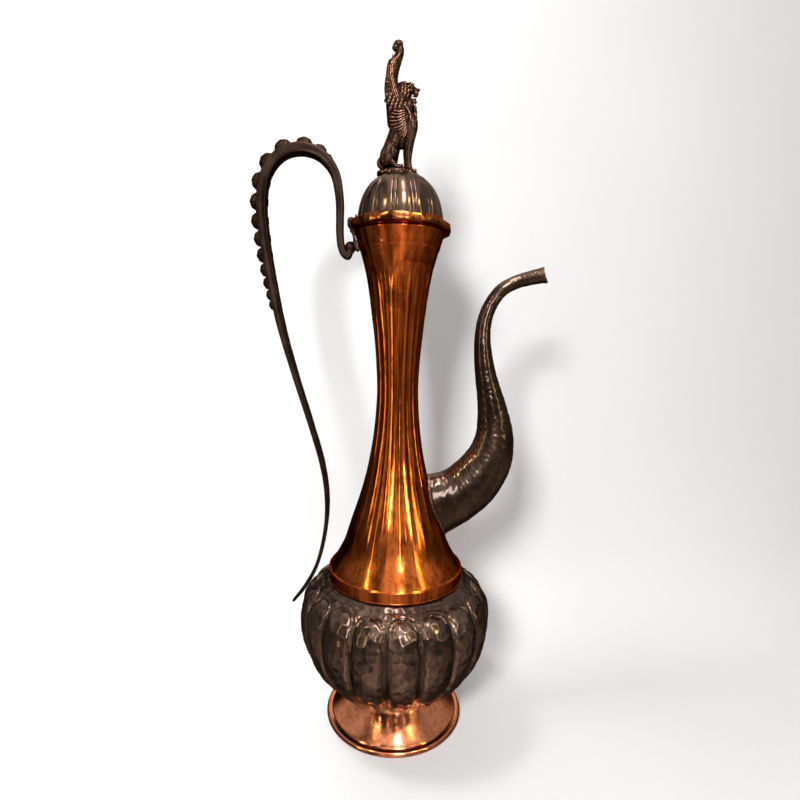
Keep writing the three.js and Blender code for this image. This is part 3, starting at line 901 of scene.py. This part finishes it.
def plate(outline, half, bevel=0.25, offset=0.0):
    """An XZ outline given thickness along Y, with softened edges, as points and faces."""
    work = bmesh.new()
    face = work.faces.new([work.verts.new((x, offset - half, z)) for x, z in outline])
    for v in bmesh.ops.extrude_face_region(work, geom=[face])["geom"]:
        if isinstance(v, bmesh.types.BMVert):
            v.co.y = offset + half
    bmesh.ops.recalc_face_normals(work, faces=work.faces)
    bmesh.ops.bevel(work, geom=work.edges[:], offset=bevel, segments=2, affect="EDGES", profile=0.6)
    work.verts.index_update()
    points = [tuple(v.co) for v in work.verts]
    faces = [tuple(v.index for v in f.verts) for f in work.faces]
    work.free()
    return points, faces


def across(outline, columns, offset=0.0):
    """Rings of points about the hinge line; the outline is (radius, y)."""
    points = []
    for r, y in outline:
        for j in range(columns):
            a = 2 * math.pi * j / columns
            points.append((HINGE.x + r * math.cos(a), offset + y, HINGE.z + r * math.sin(a)))
    return points


def knuckle(radius, bore, half, offset):
    """A short tube on the hinge line with rounded ends."""
    outline = [
        (bore, half - 0.3), (bore + 0.3, half), (radius - 0.5, half), (radius - 0.12, half - 0.15),
        (radius, half - 0.55), (radius - 0.05, 0), (radius, 0.55 - half), (radius - 0.12, 0.15 - half),
        (radius - 0.5, -half), (bore + 0.3, -half), (bore, 0.3 - half),
    ]
    columns = 56
    return across(outline, columns, offset), grid_faces(len(outline), columns, True)


def build_hinge():
    """Leaf with two knuckles on the collar, tab with one on the dome, the pin, and the handle's lug."""
    x, z = HINGE.x, HINGE.z
    radius, bore, inner, outer, gap = 3.6, 1.85, 3.2, 8.0, 0.3
    side = (outer - inner - gap) / 2
    leg = [
        (x + 1.6, z - 2.8), (-40.4, 450), (-39.7, 446.6), (-39.3, 445), (-38.2, 441.2),
        (-40.8, 441.2), (-41.2, 446.5), (x - 1.6, z - 2.9),
    ]
    bridge = [(-40.3, 449.6), (-39.9, 446), (-39.7, 441.2), (-40.8, 441.2), (-41.2, 446.5), (-41.4, 449.6)]
    places = (side - outer, outer - side)
    parts = [plate(leg, side, offset=y) for y in places]
    parts.append(plate(bridge, inner + gap + 0.2, 0.2))
    parts += [knuckle(radius, bore, side, y) for y in places]
    points, faces = combine(parts)
    piece("hinge_leaf_neck", points, faces, BRONZE, "vessel", ["hinge_leaf_neck"])

    tab = [(-40.1, 452.6), (-38.8, 452.6), (-37.6, 463.5), (-38.8, 463.5), (-40, 458.6)]
    points, faces = combine([plate(tab, inner), knuckle(radius, bore, inner, 0)])
    piece("hinge_leaf_lid", points, faces, BRONZE, "lid", ["hinge_leaf_lid"])

    pin = [(0.02, -9.8), (1.0, -9.75), (1.9, -9.5), (2.25, -9.1), (2.1, -8.5), (1.5, -8.2)]
    pin += [(r, -y) for r, y in pin[::-1]]
    columns = 40
    faces = grid_faces(len(pin), columns, False)
    faces += [tuple(range(columns)), tuple(range((len(pin) - 1) * columns, len(pin) * columns))]
    piece("hinge_pin", across(pin, columns), faces, BRONZE, "vessel", ["hinge_pin"])

    lug = [
        (-37.7, 441), (-36.5, 437), (-35.3, 433.8), (-36.1, 432.8), (-38.4, 433.2), (-39.9, 436),
        (-40.3, 441),
    ]
    points, faces = plate(lug, 5)
    piece("handle_lug", points, faces, BRONZE, "vessel", ["handle_lug"])


# ---------------------------------------------------------------- lid


def dome_profile(inset, count=80):
    """The dome's outline as (radius, z), a superellipse quarter that stops short of the axis."""
    rise = DOME_HIGH.z - DOME_LOW.z
    bend, last = 2.37, 76.5
    out = []
    for i in range(count):
        a = math.radians(mix(0, last, i / (count - 1)))
        r = (DOME_HIGH.x - inset) * math.cos(a) ** (2 / bend)
        out.append((r, DOME_LOW.z + (rise - inset) * math.sin(a) ** (2 / bend)))
    return out


def build_dome():
    """Panelled dome: each panel swells between a pair of scored lines."""
    top, hole, points_per_panel = DOME_HIGH.z, 2.9, 44
    outer = resample(dome_profile(0) + [(5, top - 0.25), (hole, top)], 110)[0]
    outline = outer + [(hole, top - SHEET)] + dome_profile(SHEET, 24)[::-1]
    count = len(outer)
    columns = PANELS * points_per_panel
    points, relief = [], []
    for i, (r, z) in enumerate(outline):
        fade = 1 - smooth(top - 13, top - 4, z)
        lean = smooth(DOME_LOW.z, top, z)
        for j in range(columns):
            angle = 2 * math.pi * j / columns
            turn = (angle * PANELS / (2 * math.pi) + 0.5) % 1.0 - 0.5
            across_panel = (0.5 - abs(turn)) * 2 * math.pi * r / PANELS
            lift = mark = 0.0
            if i < count:
                swell = -1.5 * (2 * abs(turn)) ** 2.6
                score = math.exp(-(((across_panel - 1.5) / 0.42) ** 2))
                ridge = math.exp(-((across_panel / 0.7) ** 2))
                x, y, _ = turned(r, angle, z)
                lift = fade * (swell - 0.5 * score + 0.3 * ridge) + 0.12 * rough(x, y, z, 14)
                mark = fade * math.exp(-(((across_panel - 1.5) / 0.6) ** 2))
            elif i > count:
                lift = -1.3 * fade * (2 * abs(turn)) ** 3.2
            points.append(turned(r + lift * (1 - 0.6 * lean), angle, z + lift * 0.7 * lean))
            relief.append(mark)
    faces = grid_faces(len(outline), columns, True)
    piece("lid_dome", points, faces, OLIVE, "lid", ["lid_dome"], 50, relief)


def build_rim():
    """Bent strip round the foot of the dome, uneven as cut by hand, with a notch at the hinge."""
    low, high, r_out = RIM_LOW.z, RIM_HIGH.z, RIM_HIGH.x
    notch, notch_r, inner_edge = 10.4, 39.7, 34.0
    half = math.asin(notch / 41.5)
    plain, in_notch, round_again = 300, 14, 2 * math.pi
    columns = [(half - 1e-4, False)]
    columns += [(mix(half, round_again - half, j / plain), True) for j in range(plain + 1)]
    columns += [(round_again - half + 1e-4, False)]
    columns += [(round_again + mix(-half, half, j / in_notch), False) for j in range(1, in_notch)]
    lip = [
        (inner_edge, low), (36, low), (39.4, low), (r_out - 1.2, low), (r_out - 0.5, low + 0.25),
        (r_out - 0.1, low + 0.9), (r_out, low + 2.6), (r_out - 0.5, high - 0.5), (r_out - 0.7, high),
        (r_out - 1.4, high), (r_out - 1.7, high - 0.4), (r_out - 1.7, low + 2.4), (r_out - 2.6, low + 1.5),
        (39.6, low + 1.4), (36, low + 1.4), (inner_edge, low + 1.4),
    ]
    points = []
    for r, z in lip:
        for angle, full in columns:
            radius = r if full else min(r, notch_r)
            # the angle runs from the hinge side, -X
            x, y = -math.cos(angle), math.sin(angle)
            outer = smooth(40, 43.5, radius)
            wave = 1.6 * rough(x * 40, y * 40, 3, 26) + 0.8 * rough(x * 40, y * 40, 9, 10)
            lean = 1.1 * math.cos(math.atan2(y, x) + 2.3) + 0.45 * math.sin(3 * math.atan2(y, x))
            droop = outer * max(-1.5, min(1.9, wave + lean))
            dents = 0.9 * abs(rough(x * 40, y * 40, z * 0.4, 9))
            bulge = outer * (1.1 * rough(x * 40, y * 40, 20, 18) - dents)
            points.append(((radius + bulge) * x, (radius + bulge) * y, z + droop))
    faces = grid_faces(len(lip), len(columns), True)
    piece("lid_rim", points, faces, RIM, "lid", ["lid_rim"], 45)

    r, z0, z1 = BEZEL_HIGH.x, BEZEL_LOW.z, BEZEL_HIGH.z
    ring = [
        (r - 1.0, z0), (r - 0.35, z0), (r, z0 + 0.7), (r, z1 - 0.2), (r - 0.2, z1),
        (r - 1.1, z1), (r - 1.2, z1 - 0.3), (r - 1.2, z0 + 0.3),
    ]
    points, faces, _ = lathe(ring, 200)
    piece("lid_bezel", points, faces, COPPER, "lid", ["lid_bezel"])


def build_fastener():
    """Screw through the dome into the casting, with a washer under its head."""
    low, high = extent("finial_screw")
    head, shank, under = high.x, 2.4, 496.2
    outline = [
        (0.02, low.z), (head - 1.4, low.z), (head - 0.5, low.z + 0.5), (head, low.z + 1.4),
        (head, under - 0.1), (head - 0.2, under), (shank, under),
    ]
    z = under + 0.4
    while z < high.z - 1:
        outline += [(shank, z), (shank - 0.28, z + 0.3)]
        z += 0.6
    outline += [(shank - 0.5, high.z), (0.02, high.z)]
    points, faces, _ = lathe(outline, 48)
    piece("finial_screw", points, faces, STEEL, "lid", ["finial_screw"])
    low, high = extent("finial_washer")
    ring = [(2.9, low.z + 0.3), (3.2, low.z), (high.x - 0.2, low.z), (high.x, low.z + 0.3),
            (high.x, high.z - 0.6), (high.x - 0.3, high.z - 0.4), (3.1, high.z)]
    points, faces, _ = lathe(ring, 64)
    piece("finial_washer", points, faces, STEEL, "lid", ["finial_washer"])


# ---------------------------------------------------------------- winged lion


def lion_trunk(clay):
    """Body sitting on its haunches, forelegs straight, paws and a curled tail."""
    clay.ball((5.6, 4.6, 7), (6.2, 0, 553.5), 0.25)
    back = [(-11, 0, 503, 8, 7), (-9, 0, 516, 7.6, 7), (-4.5, 0, 530, 7, 6.4)]
    clay.limb(back + [(0.5, 0, 543, 8.6, 6.6), (1.5, 0, 556, 7.6, 6)])
    clay.ball((8, 6.4, 9.6), (5.8, 0, 542), 0.15)
    clay.ball((6.4, 5.2, 8), (0, 0, 527))
    for s in (-1, 1):
        clay.limb([
            (9, s * 3.9, 545, 5, 3.3), (8.8, s * 4.6, 535, 5, 3.4), (7.4, s * 4.6, 525, 3.9, 3),
            (6.4, s * 4.5, 520.5, 4.1, 3.2), (6, s * 4.4, 512, 3.2, 2.6),
            (6.4, s * 4.3, 505, 2.9, 2.6), (8.2, s * 4.3, 501.6, 2.6, 2.7),
        ], 26)
        clay.ball((2.6, 2.6, 2.8), (6.4, s * 4.6, 521.5))
        for k in (-1, 0, 1):
            clay.ball((2.4, 1.1, 1.5), (11.2, s * 4.3 + k * 1.7, 500.6), 0.15)
        clay.ball((4, 3, 2), (7.6, s * 4.3, 500.8))
        clay.ball((7, 3.4, 10), (-11.2, s * 5, 512.8), 0.28)
        clay.ball((5, 3.1, 5.4), (-7.6, s * 5.9, 514.4), 0.2)
        hind_leg = [(-9, s * 6.4, 508, 2.6, 2), (-6, s * 6.6, 504.4, 2.3, 2)]
        clay.limb(hind_leg + [(-2, s * 6.4, 502.6, 2, 2.1), (0.8, s * 6.3, 501.8, 1.7, 2.2)])
        for k in (-1, 0, 1):
            clay.ball((1.8, 0.85, 1.2), (2, s * 6.3 + k * 1.35, 501.4), 0.1)
    clay.limb([(-14, 0, 503, 2.4, 2.2), (-18.4, 2, 505.5, 1.8, 1.8), (-19, 4.6, 510, 1.5, 1.5),
               (-16.5, 7.6, 514.5, 1.3, 1.3), (-12.6, 9, 518.5, 1.2, 1.1), (-11.4, 8.6, 522.5, 1.7, 1.3)], 22)
    for k in range(4):
        tuft = (-11.4 + 0.9 * math.cos(1.6 * k), 9, 523 + 0.9 * math.sin(1.6 * k))
        clay.ball((1.0, 0.7, 1.9), tuft, 0.4 * k)


def lion_head(clay):
    """Skull, muzzle, open jaw, brows, eyes, ears and teeth."""
    clay.ball((8, 6.3, 7.8), (1.4, 0, 566.2))
    clay.ball((4.6, 4.6, 4.2), (7, 0, 568.6), 0.2)
    clay.limb([(6, 0, 568.4, 3.8, 4), (10.5, 0, 567.6, 3, 3.1), (14, 0, 566.4, 2.2, 2.5)])
    clay.ball((1.5, 1.9, 1.3), (14.4, 0, 568.2))
    clay.limb([(5, 0, 560.4, 2.4, 3.4), (9.6, 0, 559, 1.7, 2.6), (13.4, 0, 558, 1.1, 1.7)])
    clay.limb([(9.4, 0, 560.6, 0.7, 1.5), (12.6, 0, 560.2, 0.6, 1.1)], 6)
    for s in (-1, 1):
        clay.ball((2.4, 1.6, 1.8), (12.2, s * 1.5, 564.9), 0.1)
        clay.ball((2.8, 1.1, 1.1), (7.9, s * 3.1, 571.6), 0.35)
        clay.ball((1.0, 0.9, 0.95), (8.9, s * 3.2, 569.9))
        clay.ball((0.45, 0.45, 1.3), (12.7, s * 1.5, 563.4))
        clay.ball((0.4, 0.4, 1.0), (12.1, s * 1.2, 560.9))
        clay.ball((1.7, 1.0, 1.7), (2.2, s * 5.2, 571.2), -0.2, s * 0.35)
        clay.ball((2.2, 1.5, 2.0), (7.2, s * 3.3, 566))
        for k in range(4):
            clay.ball((0.28, 0.28, 0.8), (9.4 + 0.8 * k, s * 1.9, 563.5))


def lion_mane(clay):
    """Locks that fall in rings from the face round the neck and down the chest."""
    rings = ((5.2, 11, 5, 1.4), (5.8, 12, 6, -1), (5.6, 12, 6.5, -3.4))
    for ring, (radius, count, length, back) in enumerate(rings):
        for k in range(count):
            a = mix(-2.5, 2.5, (k + 0.5 * (ring % 2)) / (count - 1))
            y, up = radius * math.sin(a), radius * math.cos(a)
            start = Vector((4.6 + back, y * 0.92, 566 + up))
            fall = Vector((-2.2 - 0.4 * ring, 0.5 * math.sin(a), -0.2 * length - 2.2 * abs(math.sin(a))))
            tip = start + fall + Vector((0, 0, -0.4 * length if abs(a) > 1 else 0))
            middle = (start + tip) / 2 + Vector((0.2, 0.9 * math.sin(a), 0.6))
            clay.limb([(*start, 1.1, 1.1), (*middle, 1.25, 1.2), (*tip, 0.8, 0.8)], 8, 8)
    for row in range(6):
        for k in (-1.5, -0.5, 0.5, 1.5) if row % 2 else (-1, 0, 1):
            x = 9.6 + 3.4 * math.sin(math.pi * (row + 1) / 7) - 0.35 * k * k
            z = 556.5 - 3.6 * row
            lock = [(x - 1.6, k * 2.6, z + 2.4, 1.2, 1.3), (x - 0.2, k * 2.7, z, 1.2, 1.3)]
            clay.limb(lock + [(x - 0.6, k * 2.5, z - 2.9, 0.4, 0.5)], 7, 8)


def lion_wings(clay):
    """A fan of long feathers behind the shoulder, then the two wings sweep up as one column."""
    core = [
        (-5, 0, 534, 6.4, 4.6), (-6, 0, 545, 6.6, 5), (-7.4, 0, 556, 6, 5), (-9, 0, 568, 6, 4),
        (-8, 0, 580, 5.2, 3.6), (-4.7, 0, 590, 4.4, 3.2), (-1.9, 0, 598, 3.6, 3), (-2.6, 0, 603.2, 3.1, 2.9),
    ]
    clay.limb(core, 30, 16)
    clay.ball((4.4, 4.1, 3.5), (-3.5, 0, 603.2), -0.3)
    clay.ball((3, 3.4, 3), (-5.7, 0, 600.9), -0.3)
    for s in (-1, 1):
        edge = [(5.4, s * 5.4, 531, 1.0, 1.2), (7.4, s * 6.2, 539, 1.3, 1.4)]
        clay.limb(edge + [(6, s * 6.4, 547, 1.3, 1.4), (1.6, s * 6.2, 553.6, 1.1, 1.2)], 18)
        for k in range(10):
            share = k / 9
            a = math.radians(mix(-62, 8, share))
            root = Vector((4.6 - 2.2 * share, s * 6.0, 534.5 + 14 * share))
            reach = mix(10.5, 14.5, math.sin(math.pi * share * 0.8 + 0.3))
            tip = root + Vector((-reach * math.cos(a), 0, reach * math.sin(a) * 0.9))
            tip.y = s * 3.4
            bend = (root + tip) / 2 + Vector((0.6, s * 1.5, -2.0))
            clay.limb([(*root, 0.9, 1.0), (*bend, 1.05, 1.15), (*tip, 1.0, 1.0)], 16, 10)
        for row in range(5):
            for k in range(4):
                x = 1.6 - 3.8 * k - 0.9 * row + 1.8 * (row % 2)
                z = 551.5 + 2.6 * row - 0.5 * k
                clay.ball((1.5, 0.9, 2.1), (x, s * (5.5 - 0.25 * row), z), 0.35, -s * 0.15, 8, 12)
        for k in range(6):
            share = k / 5
            z0 = mix(560, 556, share)
            stops = []
            for step in range(7):
                u = step / 6
                back = curve([(-3.6, z0), (-7.6, 570), (-9.5, 580), (-6.6, 590), (-3, 598 - 2.6 * k)], u)
                spread = mix(-4.6, 4.8, share) * (1 - 0.6 * u)
                side = mix(5.1, 3.3, u) * (1 - 0.34 * (2 * share - 1) ** 2)
                stops.append((back[0] - spread * 0.95, s * side, back[1] + 0.4 * spread, 0.85, 0.9))
            clay.limb(stops, 28, 10)
        for k in range(9):
            share = k / 8
            root = curve([(-10, 552), (-12.6, 562), (-13, 572), (-11, 582), (-7.4, 592)], share)
            clay.limb([
                (root[0] + 2.4, s * 2.6, root[1] - 2.6, 0.9, 0.9),
                (root[0], s * 2.2, root[1], 0.95, 0.9),
                (root[0] - 1.6 + 0.5 * share, s * 1.3, root[1] + 2.8, 0.6, 0.7),
            ], 10, 8)


def lion_seat(clay):
    """Rocky plinth moulded over the top of the dome."""
    clay.ball((17.6, 11.4, 4.4), (-3.2, 0, 499), 0, 0, 16, 40)
    for k in range(34):
        a = 2 * math.pi * k / 34
        wave = 1 + 0.06 * math.sin(5 * a + 1)
        x, y = -3.2 + 16.4 * wave * math.cos(a), 10.4 * wave * math.sin(a)
        size = random.uniform(1.4, 2.6)
        clay.ball((size, size * 0.8, size * 0.75), (x, y, 497.6 + random.uniform(-0.5, 0.9)), 0, 0, 8, 12)


def build_lion():
    """The lion and its plinth fused into one skin, cut off where it would enter the dome."""
    clay = Clay()
    for part in (lion_trunk, lion_head, lion_mane, lion_wings, lion_seat):
        part(clay)
    mesh = clay.skin(0.3, 2)
    top = DOME_HIGH.z
    profile = dome_profile(-0.35, 60)
    work = bmesh.new()
    work.from_mesh(mesh)
    for v in work.verts:
        x, y, z = v.co / MM
        r = math.hypot(x, y)
        floor = top + 0.4
        for (r0, z0), (r1, z1) in zip(profile, profile[1:]):
            if r1 <= r <= r0:
                floor = mix(z0, z1, (r0 - r) / max(1e-6, r0 - r1))
                break
        if z < floor:
            v.co.z = floor * MM
        elif z > 503:
            grain = 0.1 * noise.noise(Vector((x, y, z)) / 1.6)
            v.co += v.normal * grain * MM
    work.to_mesh(mesh)
    work.free()
    mesh.name = "finial_lion"
    finished("finial_lion", mesh, ANTIQUE, "lid", ["finial_lion"], 80)


# ---------------------------------------------------------------- studio


def build_stage():
    """A pale sweep: floor, curve and wall close behind the ewer."""
    wall, bend, width, front, height = 0.15, 0.09, 1.25, -0.75, 1.05
    outline = [(front, 0.0), (wall - bend, 0.0)]
    outline += arc(wall - bend, bend, bend, -84, -6, 13)
    outline += [(wall, bend), (wall, height)]
    mesh = bpy.data.meshes.new("sweep")
    points = [(s * width / 2, y, z) for s in (-1, 1) for y, z in outline]
    count = len(outline)
    mesh.from_pydata(points, [], [(i, count + i, count + i + 1, i + 1) for i in range(count - 1)])
    mesh.shade_smooth()
    sweep = bpy.data.objects.new("sweep", mesh)
    bpy.context.scene.collection.objects.link(sweep)
    n = Nodes("paper")
    tone = n.blend(n.remap(n.noise(3), 0.3, 0.7), (0.86, 0.86, 0.86), (0.9, 0.9, 0.9))
    mesh.materials.append(n.finish(tone, 0.9, 0.0))
    n.link((1, 1, 1, 1), n.shader.inputs["Emission Color"])
    n.link(0.12, n.shader.inputs["Emission Strength"])
    # the paper is clear from its back, so the ewer can be seen from behind
    side = n.add("ShaderNodeNewGeometry").outputs["Backfacing"]
    clear = n.add("ShaderNodeBsdfTransparent").outputs[0]
    either = n.add("ShaderNodeMixShader", {0: side, 1: n.shader.outputs[0], 2: clear})
    n.link(either.outputs[0], n.tree.nodes["Material Output"].inputs["Surface"])
    # the polished sheet mirrors the dim room and not the paper
    sweep.visible_glossy = False


def soft_light(name, place, aim, width, height, power, color=(1, 1, 1)):
    """A rectangular lamp at a place in metres, turned towards its aim, in watts."""
    data = bpy.data.lights.new(name, "AREA")
    data.shape = "RECTANGLE"
    data.size, data.size_y = width, height
    data.energy = power
    data.color = color
    obj = bpy.data.objects.new(name, data)
    obj.location = place
    obj.rotation_euler = (Vector(aim) - Vector(place)).to_track_quat("-Z", "Y").to_euler()
    bpy.context.scene.collection.objects.link(obj)
    return obj


# brightness of the room from left to right, in front of the ewer
BAYS = [
    (0.0, 0.25), (0.07, 0.05), (0.14, 0.6), (0.2, 0.06), (0.28, 0.12), (0.35, 0.8), (0.42, 0.4),
    (0.5, 1.0), (0.57, 0.6), (0.64, 0.1), (0.73, 0.65), (0.8, 0.05), (0.9, 0.45), (1.0, 0.1),
]
# tint of the room from straight down to straight up
LEVELS = [
    (0.0, (0.68, 0.48, 0.37)), (0.3, (0.56, 0.39, 0.3)), (0.42, (0.17, 0.12, 0.1)),
    (0.58, (0.14, 0.105, 0.09)), (0.68, (0.85, 0.72, 0.64)), (0.8, (0.5, 0.42, 0.37)),
    (1.0, (0.95, 0.8, 0.7)),
]
# how the room darkens from in front of and over the ewer to low behind it
DEPTH = [(0.0, (1, 1, 1)), (0.7, (0.95, 0.95, 0.95)), (0.88, (0.2, 0.17, 0.15)), (1.0, (0.1, 0.08, 0.07))]


def build_room():
    """A dim room round the ewer, seen only in its polish; it barely lights the paper."""
    world = bpy.data.worlds.new("studio")
    bpy.context.scene.world = world
    world.use_nodes = True
    n = Wiring(world.node_tree)
    place = n.add("ShaderNodeTexCoord").outputs["Generated"]
    axes = n.add("ShaderNodeSeparateXYZ", {0: place}).outputs
    behind = n.math("SUBTRACT", axes["Y"], axes["Z"])
    bays = [(stop, (tone, tone, tone)) for stop, tone in BAYS]
    color = (1.0, 1.0, 1.0, 1.0)
    for value, stops in ((axes["X"], bays), (axes["Z"], LEVELS), (behind, DEPTH)):
        spread = n.add("ShaderNodeMapRange", {"Value": value, "From Min": -1.0})
        ramp = n.add("ShaderNodeValToRGB", {0: spread.outputs["Result"]})
        ramp.color_ramp.interpolation = "B_SPLINE"
        for stop, _ in stops[1:-1]:
            ramp.color_ramp.elements.new(stop)
        for element, (stop, tone) in zip(ramp.color_ramp.elements, stops):
            element.position, element.color = stop, (*tone, 1)
        color = n.blend(1.0, color, ramp.outputs["Color"], "MULTIPLY")
    ray = n.add("ShaderNodeLightPath").outputs
    in_polish, on_paper, pale = 2.0, 0.14, (0.46, 0.46, 0.46)
    strength = {"Value": ray["Is Diffuse Ray"], "To Min": in_polish, "To Max": on_paper}
    power = n.add("ShaderNodeMapRange", strength)
    background = n.tree.nodes["Background"].inputs
    n.link(n.blend(ray["Is Camera Ray"], color, pale), background["Color"])
    n.link(power.outputs["Result"], background["Strength"])


def build_light():
    """Two lamps that light the paper, and smaller ones that only glint in the metal."""
    aim = (0, 0.05, 0.2)
    for name, place, size, power in (
        ("key", (-0.5, -1.15, 0.95), 0.3, 19),
        ("back", (-0.42, -0.02, 1.15), 0.2, 3.6),
    ):
        soft_light(name, place, aim, size, size, power).visible_glossy = False
    warm, gold, white = (1.0, 0.78, 0.74), (1.0, 0.8, 0.42), (1.0, 0.93, 0.95)
    for lamp in (
        ("window", (0.1, -1.2, 0.6), (0, 0, 0.2), 0.2, 0.36, 2.8, white),
        ("lamp_right", (0.75, -0.75, 0.6), (0, 0, 0.3), 0.07, 0.7, 1.2, gold),
        ("lamp_left", (-0.85, -0.6, 0.5), (0, 0, 0.3), 0.07, 0.7, 0.9, gold),
        ("skylight", (0.06, -0.62, 1.0), (0, 0, 0.2), 0.1, 0.24, 2.2, white),
        ("ceiling", (0.04, -0.4, 1.5), (0, 0, 0.2), 0.12, 0.5, 3.0, warm),
        ("spot_left", (-0.5, -0.5, 0.9), (0, 0, 0.1), 0.1, 0.1, 1.0, gold),
        ("spot_right", (0.45, -0.6, 0.95), (0, 0, 0.1), 0.1, 0.1, 1.2, gold),
    ):
        soft_light(*lamp).visible_diffuse = False


def build_camera():
    """Chest-high view from slightly left of the front, close, looking a little down."""
    turn, pitch, roll = math.radians(-5), math.radians(6.5), math.radians(0.78)
    reach, height = 0.460, 0.354
    place = Vector((math.sin(turn) * reach, -math.cos(turn) * reach, height))
    ahead = Vector((-math.sin(turn) * math.cos(pitch), math.cos(turn) * math.cos(pitch), -math.sin(pitch)))
    right = Vector((math.cos(turn), math.sin(turn), 0))
    up = right.cross(ahead)
    data = bpy.data.cameras.new("camera")
    data.sensor_width = 36
    data.lens = 22.86
    data.shift_x = 0.0031
    camera = bpy.data.objects.new("camera", data)
    axes = Matrix((right, up, -ahead)).transposed() @ Matrix.Rotation(roll, 3, "Z")
    camera.matrix_world = Matrix.Translation(place) @ axes.to_4x4()
    bpy.context.scene.collection.objects.link(camera)
    bpy.context.scene.camera = camera


build_foot()
build_bowl()
build_band()
build_neck()
build_collar()
build_spout()
build_handle()
build_hinge()
build_dome()
build_rim()
build_fastener()
build_lion()
build_stage()
build_room()
build_light()
build_camera()
bpy.context.scene.view_settings.view_transform = "Standard"
